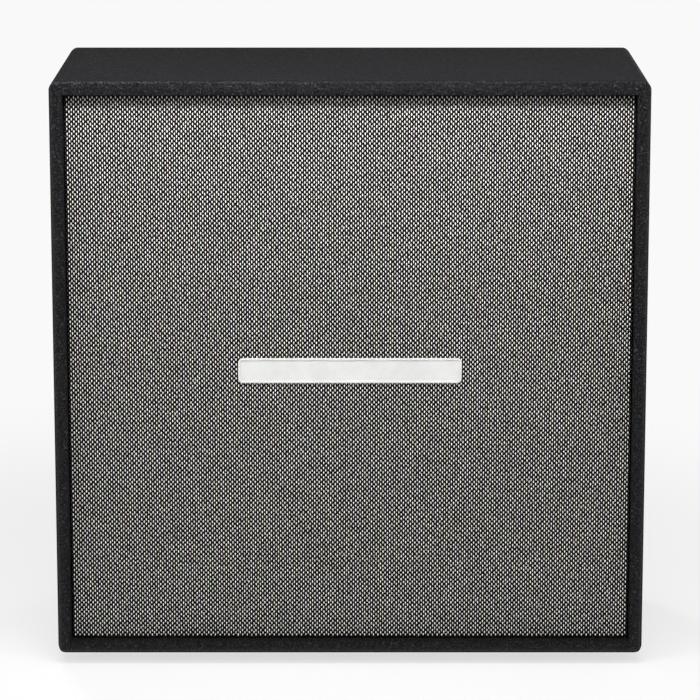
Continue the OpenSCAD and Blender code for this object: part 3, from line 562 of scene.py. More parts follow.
FINISHES = (
    # The vinyl's bluish light colour, far above its near-black dark one, is a painted highlight: the pebble
    # tone spreads it over the grain tops, where the lamps' glints would fall.
    Finish("vinyl", (0.0006, 0.0006, 0.0007), (0.035, 0.0338, 0.041), Texture.PEBBLE, 270, 1.7,
           rough=(0.26, 0.38), specular=0.12, dulled=1.0),
    Finish("plywood", (0.42, 0.27, 0.14), (0.66, 0.47, 0.27), Texture.TIMBER, 900, 0.05, rough=(0.5, 0.7)),
    Finish("softwood", (0.5, 0.33, 0.16), (0.72, 0.54, 0.32), Texture.TIMBER, 700, 0.05, rough=(0.5, 0.7)),
    Finish("black_board", (0.006, 0.006, 0.006), (0.018, 0.017, 0.016), Texture.TIMBER, 900, 0.08,
           rough=(0.55, 0.8)),
    Finish("fibre_board", (0.16, 0.07, 0.025), (0.3, 0.15, 0.06), Texture.FIBRES, 1500, 0.02),
    Finish("zinc_steel", (0.5, 0.5, 0.5), (0.7, 0.7, 0.69), Texture.BRUSHED, 1800, 0.006,
           rough=(0.22, 0.42), metallic=1.0),
    Finish("plate_steel", (0.42, 0.42, 0.41), (0.6, 0.6, 0.6), Texture.BRUSHED, 1200, 0.01,
           rough=(0.26, 0.45), metallic=1.0),
    Finish("black_steel", (0.02, 0.02, 0.022), (0.045, 0.045, 0.048), Texture.BRUSHED, 1500, 0.008,
           rough=(0.25, 0.42), metallic=0.6),
    Finish("coil_wire", (0.45, 0.2, 0.07), (0.75, 0.42, 0.2), Texture.BRUSHED, 2500, 0.02,
           rough=(0.25, 0.4), metallic=1.0),
    Finish("rubber", (0.008, 0.008, 0.008), (0.02, 0.02, 0.02), Texture.MOULDED, 1400, 0.03,
           rough=(0.6, 0.85), specular=0.35),
    Finish("grip_rubber", (0.007, 0.007, 0.007), (0.016, 0.016, 0.016), Texture.MOULDED, 1600, 0.03,
           rough=(0.5, 0.75), specular=0.4),
    Finish("black_pressing", (0.007, 0.007, 0.0075), (0.014, 0.014, 0.015), Texture.MOULDED, 900, 0.05,
           rough=(0.26, 0.42), coat=0.2),
    Finish("basket_paint", (0.008, 0.008, 0.009), (0.018, 0.018, 0.02), Texture.MOULDED, 800, 0.04,
           rough=(0.25, 0.4), coat=0.2),
    Finish("black_plastic", (0.008, 0.008, 0.008), (0.016, 0.016, 0.016), Texture.MOULDED, 2200, 0.02,
           rough=(0.35, 0.55)),
    Finish("ferrite", (0.025, 0.025, 0.027), (0.06, 0.06, 0.063), Texture.MOULDED, 1500, 0.04,
           rough=(0.5, 0.75)),
    Finish("cone_paper", (0.012, 0.011, 0.01), (0.035, 0.032, 0.029), Texture.FIBRES, 900, 0.12,
           rough=(0.7, 0.9), specular=0.25),
    Finish("cap_felt", (0.008, 0.008, 0.008), (0.022, 0.021, 0.02), Texture.FIBRES, 1300, 0.15,
           rough=(0.8, 0.95), sheen=0.3, specular=0.2),
    Finish("surround", (0.006, 0.006, 0.006), (0.016, 0.015, 0.015), Texture.FIBRES, 1100, 0.08,
           rough=(0.45, 0.7)),
    Finish("cork", (0.12, 0.07, 0.04), (0.34, 0.22, 0.13), Texture.FIBRES, 600, 0.2, rough=(0.75, 0.9)),
    Finish("spider", (0.42, 0.26, 0.09), (0.68, 0.47, 0.2), Texture.THREADS, 900, 0.15,
           rough=(0.6, 0.8)),
    Finish("hook_and_loop", (0.004, 0.004, 0.004), (0.02, 0.02, 0.02), Texture.FIBRES, 1000, 0.6,
           rough=(0.75, 0.95), sheen=0.4),
    Finish("cable_sheath", (0.01, 0.01, 0.01), (0.02, 0.02, 0.02), Texture.MOULDED, 1200, 0.02,
           rough=(0.4, 0.6)),
    Finish("badge", (0.6, 0.6, 0.59), (0.65, 0.65, 0.64), Texture.MOULDED, 1500, 0.02,
           rough=(0.35, 0.5), specular=0.3),
    Finish("grille_cloth", (0.003, 0.0025, 0.0022), (0.4, 0.39, 0.37), Texture.THREADS, 344, 0.5,
           rough=(0.7, 0.9), specular=0.1, stretch=(1.0, 0.948, 1.0), on_uv=True),
    Finish("white_yarn", (0.76, 0.735, 0.7), (0.92, 0.895, 0.86), Texture.FIBRES, 2600, 0.12,
           rough=(0.55, 0.75), sheen=0.2, specular=0.3),
    Finish("dark_yarn", (0.001, 0.0008, 0.0007), (0.006, 0.0048, 0.004), Texture.FIBRES, 2600, 0.12,
           rough=(0.6, 0.8), specular=0.08),
)


class FinishShop:
    """Makes each finish once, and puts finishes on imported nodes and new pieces."""

    def __init__(self) -> None:
        """Builds every finish in the list."""
        effects = Effects()
        self.materials = {finish.name: finish.material(effects) for finish in FINISHES}

    def dress_nodes(self) -> int:
        """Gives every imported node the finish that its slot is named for.

        Returns:
            How many nodes were dressed.
        """
        count = 0
        for thing in bpy.data.objects:
            if "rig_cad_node" not in thing:
                continue
            for slot in thing.material_slots:
                slot.material = self.materials[slot.material.name.split(".")[0]]
            count += 1
        return count

    def piece(self, name: str, mesh: bpy.types.Mesh, finish: str, body: Body,
              replaces: Sequence[str] = (), slot: str = "") -> bpy.types.Object:
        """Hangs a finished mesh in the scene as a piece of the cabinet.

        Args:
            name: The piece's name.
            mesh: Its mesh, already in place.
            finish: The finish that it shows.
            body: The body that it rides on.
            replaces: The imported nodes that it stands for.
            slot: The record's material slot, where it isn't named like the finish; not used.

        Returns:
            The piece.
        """
        mesh.materials.clear()
        mesh.materials.append(self.materials[finish])
        made = in_scene(name, mesh)
        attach(made, body.value)
        if replaces:
            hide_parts(*replaces)
        LOG.info("%s: %d faces", name, len(mesh.polygons))
        return made


# ---------------------------------------------------------------- the cabinet


@dataclass
class Covering:
    """The grained vinyl: wrapped over rounded edges and turned in round both openings."""

    shop: FinishShop
    edge_radius: float = 12.7
    edge_segments: int = 10
    lip_radius: float = 2.0
    lip_segments: int = 4
    sheet: float = 1.0
    lining_gap: float = 0.6
    handle_hole: tuple[float, float, float] = (154.0, 100.0, 18.0)
    corner_fullness: float = 0.42

    def build(self) -> None:
        """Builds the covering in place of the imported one."""
        outer, baffle, rear = Box.of("vinyl_covering"), Box.of("baffle_board"), Box.of("rear_panel")
        work = Workpiece()
        work.block(outer)
        work.round_edges(work.bm.edges[:], self.edge_radius * MM, self.edge_segments)
        self.fill_corners(work, outer)
        border = (outer.size.x - baffle.size.x) / 2 - (self.edge_radius + self.lining_gap) * MM
        for way, depth in ((-1, baffle.high.y - outer.low.y), (1, outer.high.y - rear.low.y)):
            face = work.facing((0, way, 0))[0]
            work.inset(face, border)
            caps = work.raised(face, (0, -way * depth, 0))
            work.remove([*caps, face] if face.is_valid else caps)
        for side in (-1, 1):
            self.cut_handle_hole(work, side)
        lips = [edge for edge in work.bm.edges if self.on_lip(edge, outer, border)]
        work.round_edges(lips, self.lip_radius * MM, self.lip_segments)
        mesh = work.mesh("shell_covering", crease=50)
        made = self.shop.piece("shell_covering", mesh, "vinyl", Body.CABINET, ["vinyl_covering"])
        thickened(made, "sheet", self.sheet * MM)

    def fill_corners(self, work: Workpiece, outer: Box) -> None:
        """Swells the eight ball corners to the routed wood below them, where three round edges meet."""
        inner = outer.size / 2 - Vector((1, 1, 1)) * self.edge_radius * MM
        for vert in work.bm.verts:
            from_middle = vert.co - outer.middle
            beyond = Vector([max(abs(from_middle[i]) - inner[i], 0) for i in range(3)])
            least = min(beyond) / beyond.length
            swollen = beyond * (1 - least ** 2) ** -self.corner_fullness
            for i in range(3):
                if beyond[i] > 0:
                    vert.co[i] = outer.middle[i] + math.copysign(inner[i] + swollen[i], from_middle[i])

    def on_lip(self, edge: bmesh.types.BMEdge, outer: Box, border: float) -> bool:
        """Tells whether an edge runs round the front or the rear opening, in the outer plane."""
        inset = border + self.edge_radius * MM
        half = Vector((outer.size.x / 2 - inset, 0, outer.size.z / 2 - inset))
        for vert in edge.verts:
            x, y, z = (abs(value) for value in vert.co - outer.middle)
            on_face = abs(y - outer.size.y / 2) < TOUCHING
            on_x = abs(x - half.x) < TOUCHING and z < half.z + TOUCHING
            on_z = abs(z - half.z) < TOUCHING and x < half.x + TOUCHING
            if not (on_face and (on_x or on_z)):
                return False
        return True

    def cut_handle_hole(self, work: Workpiece, side: int) -> None:
        """Opens the covering for the pan of one side handle."""
        dish = Box.of(("left" if side < 0 else "right") + "_handle_dish")
        wall = work.facing((side, 0, 0))[0]
        length, height, radius = (size * MM for size in self.handle_hole)
        before = set(work.bm.faces)
        hole = work.rounded_face(length, height, radius)
        place = facing_side(side, wall.calc_center_median().x, dish.middle.y, dish.middle.z)
        bmesh.ops.transform(work.bm, matrix=place, verts=hole.verts)
        outside, inside = wall.edges[:], hole.edges[:]
        work.remove([wall, *(set(work.bm.faces) - before)])
        work.bridge(outside, inside)


@dataclass
class Grille:
    """The woven cloth stretched over its frame."""

    shop: FinishShop
    columns: int = 244
    rows: int = 228
    edge_radius: float = 2.2
    turned_over: float = 19.0
    edge_segments: int = 4
    cloth: float = 0.7
    yarn_back: float = 0.35
    white_bead: tuple[float, float, float] = (0.69, 1.9, 0.6)
    dark_bead: tuple[float, float, float] = (1.5, 1.0, 0.45)
    bead_taper: float = 0.28
    bead_border: float = 1.6
    bead_sides: int = 6
    bead_rings: int = 4
    unevenness: float = 0.06
    most_uneven: float = 2.0

    def build(self) -> None:
        """Builds the cloth and its yarns."""
        box = Box.of("grille_cloth", "cloth_turnover")
        sheet, cut, area = self.sheet(box)
        yarns = self.yarns(box)

    def sheet(self, box: Box) -> tuple:
        """Builds the cloth: its face, its sides and what is turned over behind the frame.

        Args:
            box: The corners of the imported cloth.

        Returns:
            The piece, the size that it was cut to, and the area of that cut.
        """
        low = box.low + Vector((0, self.yarn_back * MM, 0))
        work = Workpiece()
        work.block(Box(low, box.high))
        back = work.facing((0, 1, 0))[0]
        work.inset(back, self.turned_over * MM)
        work.remove([back])
        deep = box.high.y - low.y
        rounded = [edge for edge in work.bm.edges
                   if all(abs(vert.co.y - low.y) < TOUCHING for vert in edge.verts)
                   or abs(edge.verts[0].co.y - edge.verts[1].co.y) > deep - TOUCHING]
        work.round_edges(rounded, self.edge_radius * MM, self.edge_segments)
        self.unroll(work, box)
        area = sum(face.calc_area() for face in work.bm.faces)
        cut = [side + 2 * (deep + self.turned_over * MM) for side in (box.size.x, box.size.z)]
        made = self.shop.piece("grille_cloth_sheet", work.mesh("grille_cloth_sheet"), "grille_cloth",
                               Body.GRILLE, ["grille_cloth", "cloth_turnover"])
        thickened(made, "cloth", self.cloth * MM)
        return made, cut, area

    def unroll(self, work: Workpiece, box: Box) -> None:
        """Maps the cloth as it lay flat, in metres, so that its threads run round the edges."""
        layer = work.bm.loops.layers.uv.new("UVMap")
        middle, half = box.middle, box.size / 2
        work.bm.normal_update()
        for face in work.bm.faces:
            for loop in face.loops:
                point = loop.vert.co - middle
                deep = point.y + half.y
                flat = [point.x, point.z]
                spare = [half.x - abs(point.x), half.z - abs(point.z)]
                if face.normal.y > 0.5:
                    axis = 0 if spare[0] < spare[1] else 1
                    flat[axis] = math.copysign(half[2 * axis] + 2 * half.y + spare[axis], flat[axis])
                elif abs(face.normal.y) <= 0.5:
                    axis = 0 if abs(face.normal.x) > abs(face.normal.z) else 1
                    flat[axis] = math.copysign(half[2 * axis] + deep, flat[axis])
                loop[layer].uv = flat

    def yarns(self, box: Box) -> list[bpy.types.Object]:
        """Builds the yarns that show on the face, as one raised bead for each crossing.

        Args:
            box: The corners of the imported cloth.

        Returns:
            The pieces, four for the white yarns and four for the dark ones.
        """
        border = self.bead_border * MM
        pitch = Vector(((box.size.x - 2 * border) / self.columns, 0, (box.size.z - 2 * border) / self.rows))
        across, up = self.columns // 2, self.rows // 2
        made = []
        for kind, size, offset in (("white", self.white_bead, 0), ("dark", self.dark_bead, 1)):
            bead = self.bead(size)
            for number, (right, top) in enumerate(((0, 1), (1, 1), (0, 0), (1, 0)), 1):
                corner = Vector((box.low.x + border, box.low.y + self.yarn_back * MM, box.low.z + border))
                skipped = Vector((right * across, 0, top * up))
                cells = [(column, row) for column in range(across) for row in range(up)
                         if (column + row + right * across + top * up) % 2 == offset]
                mesh = self.strewn(bead, cells, corner + skipped * pitch, pitch, 10 * number + offset, kind)
                made.append(self.shop.piece(f"{kind}_yarn_{number}", mesh, f"{kind}_yarn", Body.GRILLE,
                                            slot="grille_cloth"))
            bpy.data.meshes.remove(bead)
        return made

    def bead(self, size: tuple[float, float, float]) -> bpy.types.Mesh:
        """Makes one bead of yarn: the front half of a squat round.

        Args:
            size: Its half width, half height and how far it stands out, in millimetres.

        Returns:
            The mesh, round its own middle.
        """
        work = Workpiece()
        bmesh.ops.create_uvsphere(work.bm, u_segments=self.bead_sides, v_segments=self.bead_rings, radius=1)
        work.place(Matrix.Rotation(QUARTER_TURN, 4, "X"))
        geometry = work.bm.verts[:] + work.bm.edges[:] + work.bm.faces[:]
        bmesh.ops.bisect_plane(work.bm, geom=geometry, dist=TOUCHING, plane_co=(0, 0, 0), plane_no=(0, 1, 0),
                               clear_outer=True)
        bmesh.ops.contextual_create(work.bm, geom=[edge for edge in work.bm.edges if edge.is_boundary])
        for vert in work.bm.verts:
            vert.co.x *= 1 + self.bead_taper * vert.co.z
        across, up, out = (value * MM for value in size)
        work.place(Matrix.Diagonal((across, out, up, 1)))
        return work.mesh("bead", crease=70)

    def strewn(self, bead: bpy.types.Mesh, cells: Sequence[tuple[int, int]], first: Vector, pitch: Vector,
               seed: int, name: str) -> bpy.types.Mesh:
        """Lays one bead in every cell, each a little off its size and place, as spun yarn is.

        Args:
            bead: The mesh of one bead.
            cells: The column and row of each bead.
            first: The corner that columns and rows count from.
            pitch: The size of a cell.
            seed: What fixes the unevenness.
            name: The name of the mesh.

        Returns:
            The mesh of all the beads.
        """
        one = in_scene(name, bead.copy())
        array = one.modifiers.new("row", "ARRAY")
        array.count, array.use_relative_offset = len(cells), False
        seen = one.evaluated_get(bpy.context.evaluated_depsgraph_get())
        made = bpy.data.meshes.new_from_object(seen)
        bpy.data.meshes.remove(one.data)
        random = np.random.default_rng(seed)
        points = np.empty(len(made.vertices) * 3)
        made.vertices.foreach_get("co", points)
        points = points.reshape(len(cells), -1, 3)
        size, shift = (self.unevenness * random.standard_normal((len(cells), 1, 3)).clip(
            -self.most_uneven, self.most_uneven) for _ in range(2))
        spots = np.array([(column + 0.5, 0, row + 0.5) for column, row in cells])[:, None, :]
        places = np.array(first) + (spots + shift * (1, 0, 1)) * np.array(pitch)
        made.vertices.foreach_set("co", (points * (1 + size) + places).ravel())
        made.update()
        return made


@dataclass
class Badge:
    """The blank plate in the middle of the grille, with a soft raised rim."""

    shop: FinishShop
    corner: float = 6.0
    rim: float = 2.6
    field_depth: float = 1.0
    edge: float = 0.6
    corner_segments: int = 10
    rim_segments: int = 3
    rim_share: float = 0.7

    def build(self) -> None:
        """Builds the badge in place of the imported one."""
        box, cloth = Box.of("badge_plate"), Box.of("grille_cloth")
        thick = cloth.low.y - box.low.y
        work = Workpiece()
        face = work.rounded_face(box.size.x, box.size.z, self.corner * MM, segments=self.corner_segments)
        work.raised(face, (0, 0, thick))
        top = work.facing((0, 0, 1))[0]
        work.inset(top, self.rim * MM)
        work.inset(top, self.edge * MM, -self.field_depth * MM)
        level = [edge for edge in work.bm.edges if all(abs(v.co.z - thick) < 1e-7 for v in edge.verts)]
        rims = [edge for edge in level if len({round(f.normal.z, 2) for f in edge.link_faces}) > 1]
        work.round_edges(rims, self.edge * self.rim_share * MM, self.rim_segments)
        work.place(facing_front(box.middle.x, cloth.low.y, box.middle.z))
        self.shop.piece("blank_badge", work.mesh("blank_badge"), "badge", Body.GRILLE, ["badge_plate"])


@dataclass
class PressedDish:
    """A dish pressed from sheet steel: a flange, a rolled mouth and a rounded pan."""

    shop: FinishShop
    name: str
    node: str
    flange: tuple[float, float, float]
    pan: tuple[float, float, float, float]
    mouth_roll: float = 4.0
    floor_round: float = 9.0
    sheet: float = 1.6
    draft: float = 3.0
    soft_edge: float = 0.6
    floor_segments: int = 6
    mouth_segments: int = 5
    soft_segments: int = 3
    sharp: float = 60.0

    def build(self, place: Matrix) -> None:
        """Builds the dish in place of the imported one.

        Args:
            place: The middle of the mouth, in the plane behind the flange, facing outwards.
        """
        length, height, radius = (value * MM for value in self.flange)
        pan_l, pan_h, pan_r, depth = (value * MM for value in self.pan)
        thick, draft = self.sheet * MM, self.draft * MM
        work = Workpiece()
        flange = work.rounded_face(length, height, radius, thick)
        mouth = work.rounded_face(pan_l - 2 * thick, pan_h - 2 * thick, pan_r - thick, thick)
        floor = work.rounded_face(pan_l - 2 * thick - 2 * draft, pan_h - 2 * thick - 2 * draft,
                                  pan_r - thick, 2 * thick - depth)
        loops = [face.edges[:] for face in (flange, mouth, floor)]
        work.remove([flange, mouth])
        work.bridge(*loops)
        for loop, radius, segments in ((loops[2], self.floor_round, self.floor_segments),
                                       (loops[1], self.mouth_roll, self.mouth_segments)):
            work.round_edges([edge for edge in loop if edge.is_valid], radius * MM, segments)
        work.place(place)
        way = place.to_3x3() @ Vector((0, 0, 1))
        mesh = work.mesh(self.name, crease=40, towards=way)
        made = self.shop.piece(self.name, mesh, "black_pressing", Body.CABINET, [self.node])
        thickened(made, "sheet", thick)
        soft = made.modifiers.new("soft edge", "BEVEL")
        soft.width, soft.segments = self.soft_edge * MM, self.soft_segments
        soft.angle_limit = math.radians(self.sharp)


@dataclass
class Grip:
    """A ribbed rubber sleeve on the handle's bar."""

    shop: FinishShop
    name: str
    node: str
    ribs: int = 17
    groove: float = 0.9
    bore: float = 6.05
    cuff: float = 7.0
    cuff_round: Outline = ((3.2, 0.0), (1.4, 1.2), (0.7, 3.5))
    cuff_rise: float = 0.6
    low_foot: float = 6.5
    high_foot: tuple[float, float] = (6.0, 6.8)
    valley: tuple[float, float] = (0.12, 0.3)
    crest: Outline = ((0.15, 0.45), (0.0, 0.62), (0.15, 0.8))
    steps: int = 40

    def build(self) -> None:
        """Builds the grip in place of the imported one. Its outlines are depths below its outer skin."""
        box = Box.of(self.node)
        length, radius = box.size.y / MM, box.size.x / 2 / MM
        pitch = (length - 2 * self.cuff) / self.ribs
        rib = [*((self.groove, share) for share in self.valley), *self.crest]
        start = (*self.cuff_round, (self.cuff_rise, self.low_foot))
        profile = [(self.bore, 0), *((radius - deep, at) for deep, at in start)]
        for number in range(self.ribs):
            foot = self.cuff + number * pitch
            profile += [(radius - deep, foot + share * pitch) for deep, share in rib]
        ending = (*self.cuff_round, *zip((self.cuff_rise, self.groove), self.high_foot))
        profile += [(radius - deep, length - at) for deep, at in reversed(ending)]
        profile += [(self.bore, length), (self.bore, 0)]
        work = Workpiece()
        work.turn(profile, self.steps)
        work.place(facing_front(box.middle.x, box.high.y, box.middle.z))
        self.shop.piece(self.name, work.mesh(self.name, crease=40), "grip_rubber", Body.CABINET, [self.node])


@dataclass
class Feet:
    """Four turned rubber feet with rounded treads."""

    shop: FinishShop
    top_radius: float = 19.0
    tip_radius: float = 16.5
    hollow: float = 8.5
    hole: float = 2.3
    web: float = 5.0
    height: float = 13.9
    mouth: Outline = ((0.0, 1.0), (0.4, 0.3), (1.0, 0.0))
    tread: Outline = ((2.4, 0.0), (1.0, 0.35), (0.2, 1.3), (0.0, 2.4))
    shoulder: Outline = ((0.4, 3.0), (0.0, 2.0), (0.0, 0.8), (0.3, 0.2), (0.9, 0.0))
    steps: int = 40

    def build(self) -> None:
        """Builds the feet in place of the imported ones."""
        packed = Box.of("rubber_feet")
        ceiling = self.height - self.web
        profile = [
            (self.hole, ceiling), (self.hollow, ceiling),
            *((self.hollow + out, up) for out, up in self.mouth),
            *((self.tip_radius - within, up) for within, up in self.tread),
            *((self.top_radius - within, self.height - below) for within, below in self.shoulder),
            (self.hole, self.height), (self.hole, ceiling),
        ]
        work = Workpiece()
        work.turn(profile, self.steps)
        foot = work.mesh("foot", crease=50)
        half = packed.size / 2 - Vector((1, 1, 0)) * self.top_radius * MM
        places = [Matrix.Translation((x * half.x, y * half.y, 0)) for x in (-1, 1) for y in (-1, 1)]
        all_feet = Workpiece()
        all_feet.add_copies(foot, places)
        self.shop.piece("rubber_feet_turned", all_feet.mesh("rubber_feet_turned", crease=50), "rubber",
                        Body.CABINET, ["rubber_feet"])


class Head(Enum):
    """The head shapes of the cabinet's screws."""

    PAN = "pan"
    FLAT = "flat"
    RAISED = "raised"


# How far out, as a share of the head's radius, and how far below its crown, in millimetres.
CROWNS: dict[Head, Outline] = {
    Head.PAN: ((0, 0), (0.4, 0.06), (0.68, 0.35), (0.88, 0.95), (0.98, 1.9)),
    Head.RAISED: ((0, 0), (0.35, 0.08), (0.7, 0.4), (0.93, 0.85), (1, 1.1)),
}


@dataclass
class Screws:
    """A set of cross recessed wood screws, all alike."""

    shop: FinishShop
    name: str
    node: str
    finish: str
    head: Head
    length: float
    radius: float = 4.4
    height: float = 3.0
    shank: float = 2.1
    steps: int = 20
    flat_rim: Outline = ((0.2, 0.0), (0.0, 0.15), (0.0, 0.4))
    pan_foot: Outline = ((0.0, 0.35), (0.15, 0.0))
    raised_cone: float = 1.9
    slot_long: float = 5.0
    slot_wide: float = 1.1
    slot_deep: float = 1.5
    slot_taper: float = 0.45
    turned_by: float = 1.9

    def profile(self) -> list[tuple[float, float]]:
        """Returns the screw's outline from the crown of its head to its tip."""
        rim, high, shank = self.radius, self.height, self.shank
        tip = [(shank, shank - self.length), (0, -self.length)]
        if self.head is Head.FLAT:
            edge = [(rim - within, -below) for within, below in self.flat_rim]
            return [(0, 0), *edge, (shank, -high), *tip]
        crown = [(share * rim, high - drop) for share, drop in CROWNS[self.head]]
        if self.head is Head.RAISED:
            return [*crown, (shank, crown[-1][1] - self.raised_cone), *tip]
        foot = [(rim - within, up) for within, up in self.pan_foot]
        return [*crown, *foot, (shank, 0), *tip]

    def one(self) -> bpy.types.Mesh:
        """Returns one screw with its recess, pointing down, under its seat at z = 0."""
        work = Workpiece()
        work.turn(self.profile(), self.steps)
        crown = 0 if self.head is Head.FLAT else self.height
        tool = Workpiece()
        made = bmesh.ops.create_cube(tool.bm, size=1)["verts"]
        bmesh.ops.scale(tool.bm, vec=(self.slot_wide, self.slot_wide, self.slot_deep * 2), verts=made)
        for face in [face for face in tool.bm.faces if abs(face.normal.z) < 0.5]:
            arm = bmesh.ops.extrude_discrete_faces(tool.bm, faces=[face])["faces"][0]
            reach = arm.normal * (self.slot_long - self.slot_wide) / 2
            bmesh.ops.translate(tool.bm, vec=reach, verts=arm.verts)
        for vert in tool.bm.verts:
            if vert.co.z < 0:
                vert.co.xy *= self.slot_taper
        tool.place(Matrix.Translation((0, 0, crown * MM)) @ Matrix.Scale(MM, 4))
        return carved(work.mesh(self.name, crease=40), tool.mesh("recess"))

    def build(self, places: Sequence[Matrix]) -> None:
        """Builds every screw, each turned by its own angle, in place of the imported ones.

        Args:
            places: Where the screws sit, facing outwards.
        """
        turned = [place @ Matrix.Rotation(self.turned_by * number, 4, "Z")
                  for number, place in enumerate(places)]
        work = Workpiece()
        work.add_copies(self.one(), turned)
        mesh = work.mesh(self.name, crease=40, outward=False)
        self.shop.piece(self.name, mesh, self.finish, Body.CABINET, [self.node])


@dataclass
class Hardware:
    """Handles, jack dish and screws, laid out from the frame."""

    shop: FinishShop
    handle_flange: tuple[float, float, float] = (196.0, 140.0, 12.0)
    handle_pan: tuple[float, float, float, float] = (152.0, 98.0, 18.0, 66.0)
    handle_pitch: float = 72.0
    jack_flange: tuple[float, float, float] = (124.0, 84.0, 9.0)
    jack_pan: tuple[float, float, float, float] = (90.0, 54.0, 9.0, 24.0)
    seat: float = 0.1
    short_screw: float = 15.0
    long_screw: float = 30.0
    screw_inset: float = 10.0
    baffle_pitch: float = 98.0
    rim_inset: float = 6.0
    bolts: int = 8

    def build(self) -> None:
        """Builds all the fittings."""
        self.handles()
        self.jack_dish()
        self.board_screws()
        self.speaker_screws()

    @staticmethod
    def between(flange: Sequence[float], pan: Sequence[float]) -> tuple[float, float]:
        """Returns how far out the screws of a dish sit, midway between its pan and its rim."""
        return (flange[0] + pan[0]) / 4 * MM, (flange[1] + pan[1]) / 4 * MM

    @property
    def on_sheet(self) -> float:
        """How far the seat of a dish's screws stands off the mouth of the dish, in metres."""
        return (PressedDish.sheet + 2 * self.seat) * MM

    def screws(self, name: str, node: str, head: Head, length: float, places: Sequence[Matrix],
               finish: str = "black_steel", **sizes: float) -> None:
        """Builds one set of screws.

        Args:
            name: The piece's name.
            node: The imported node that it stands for.
            head: The shape of the heads.
            length: The length below the head, in millimetres.
            places: Where the screws sit, facing outwards.
            finish: The finish that they show.
            sizes: Sizes that differ from the usual ones.
        """
        Screws(self.shop, name, node, finish, head, length, **sizes).build(places)

    def dish(self, middle: Matrix, name: str, node: str, flange: Sequence[float], pan: Sequence[float],
             **sizes: float) -> None:
        """Builds one pressed dish on its seat.

        Args:
            middle: The middle of its mouth, on the cabinet, facing outwards.
            name: The piece's name.
            node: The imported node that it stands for.
            flange: Its length, height and corner radius.
            pan: The same of its pan, and the pan's depth.
            sizes: Sizes that differ from the usual ones.
        """
        seated = middle @ Matrix.Translation((0, 0, self.seat * MM))
        PressedDish(self.shop, name, node, flange, pan, **sizes).build(seated)

    def handles(self) -> None:
        """Builds both side handles and their screws."""
        places = []
        shell = Box.of("vinyl_covering")
        along, up = self.between(self.handle_flange, self.handle_pan)
        step = self.handle_pitch * MM
        spots = [(i * step, s * up) for i in (-1, 0, 1) for s in (-1, 1)] + [(-along, 0), (along, 0)]
        for side, word in ((-1, "left"), (1, "right")):
            dish, bar = Box.of(word + "_handle_dish"), Box.of(word + "_handle_bar")
            middle = facing_side(side, side * shell.high.x, dish.middle.y, dish.middle.z)
            self.dish(middle, word + "_pressed_handle", word + "_handle_dish", self.handle_flange,
                      self.handle_pan)
            Grip(self.shop, word + "_ribbed_grip", word + "_handle_grip").build()
            places += [middle @ Matrix.Translation((x, y, self.on_sheet)) for x, y in spots]
            for end in (-1, 1):
                y = end * (bar.size.y / 2 + self.on_sheet)
                places.append(Matrix.Translation((bar.middle.x, y, bar.middle.z))
                              @ Matrix.Rotation(-QUARTER_TURN * end, 4, "X"))
        self.screws("handle_cross_screws", "handle_screws", Head.PAN, self.short_screw, places)

    def jack_dish(self) -> None:
        """Builds the dish that holds the jack sockets, and its screws."""
        dish, panel = Box.of("jack_dish"), Box.of("rear_panel_vinyl")
        middle = facing_back(dish.middle.x, panel.high.y, dish.middle.z)
        self.dish(middle, "pressed_jack_dish", "jack_dish", self.jack_flange, self.jack_pan,
                  mouth_roll=3.0, floor_round=5.0, draft=2.0)
        x, y = self.between(self.jack_flange, self.jack_pan)
        places = [middle @ Matrix.Translation((i * x, j * y, self.on_sheet))
                  for i in (-1, 1) for j in (-1, 1)]
        self.screws("jack_dish_cross_screws", "jack_dish_screws", Head.PAN, self.short_screw, places)

    def board_screws(self) -> None:
        """Builds the screws of the rear panel and of the baffle board."""
        board, panel = Box.of("baffle_board"), Box.of("rear_panel_vinyl")
        half_x, half_z = board.size.x / 2 - self.screw_inset * MM, board.size.z / 2 - self.screw_inset * MM
        rear = [(i * half_x / 2, s * half_z) for i in range(-2, 3) for s in (-1, 1)]
        rear += [(s * half_x, i * half_z / 2) for i in (-1, 0, 1) for s in (-1, 1)] + [(0, 0)]
        middle = facing_back(0, panel.high.y + self.seat * MM, board.middle.z)
        self.screws("rear_cross_screws", "rear_panel_screws", Head.RAISED, self.long_screw,
                    [middle @ Matrix.Translation((x, z, 0)) for x, z in rear], "zinc_steel", height=3.4)
        step = self.baffle_pitch * MM
        front = [(x, s * half_z) for x in (-half_x, -step, step, half_x) for s in (-1, 1)]
        front += [(s * half_x, i * step) for i in (-1, 0, 1) for s in (-1, 1)] + [(0, 0)]
        middle = facing_front(0, board.low.y, board.middle.z)
        self.screws("baffle_cross_screws", "baffle_screws", Head.FLAT, self.long_screw,
                    [middle @ Matrix.Translation((x, z, 0)) for x, z in front])

    def speaker_screws(self) -> None:
        """Builds the screws round the rims of the four speakers."""
        places = []
        for number in range(1, 5):
            rim = Box.of(f"basket_{number}")
            middle = facing_front(rim.middle.x, rim.low.y - self.seat * MM, rim.middle.z)
            reach = Vector((rim.size.x / 2 - self.rim_inset * MM, 0, 0))
            for bolt in range(self.bolts):
                turn = Matrix.Rotation((bolt + 0.5) * math.tau / self.bolts, 3, "Z")
                places.append(middle @ Matrix.Translation(turn @ reach))
        self.screws("speaker_cross_screws", "speaker_screws", Head.PAN, self.short_screw, places)


# ---------------------------------------------------------------- the studio


@dataclass(frozen=True)
class Lamp:
    """One soft area lamp: a round one, or a long strip where it has a height."""

    name: str
    place: tuple[float, float, float]
    aim: tuple[float, float, float]
    size: float
    watts: float
    height: float = 0.0

    def build(self) -> None:
        """Hangs the lamp and points it."""
        data = bpy.data.lights.new(self.name, "AREA")
        data.shape, data.size, data.energy = "DISK", self.size, self.watts
        if self.height:
            data.shape, data.size_y = "RECTANGLE", self.height
        made = in_scene(self.name, data)
        made.location = self.place
        made.rotation_euler = (Vector(self.aim) - Vector(self.place)).to_track_quat("-Z", "Y").to_euler()
        made.visible_camera = False


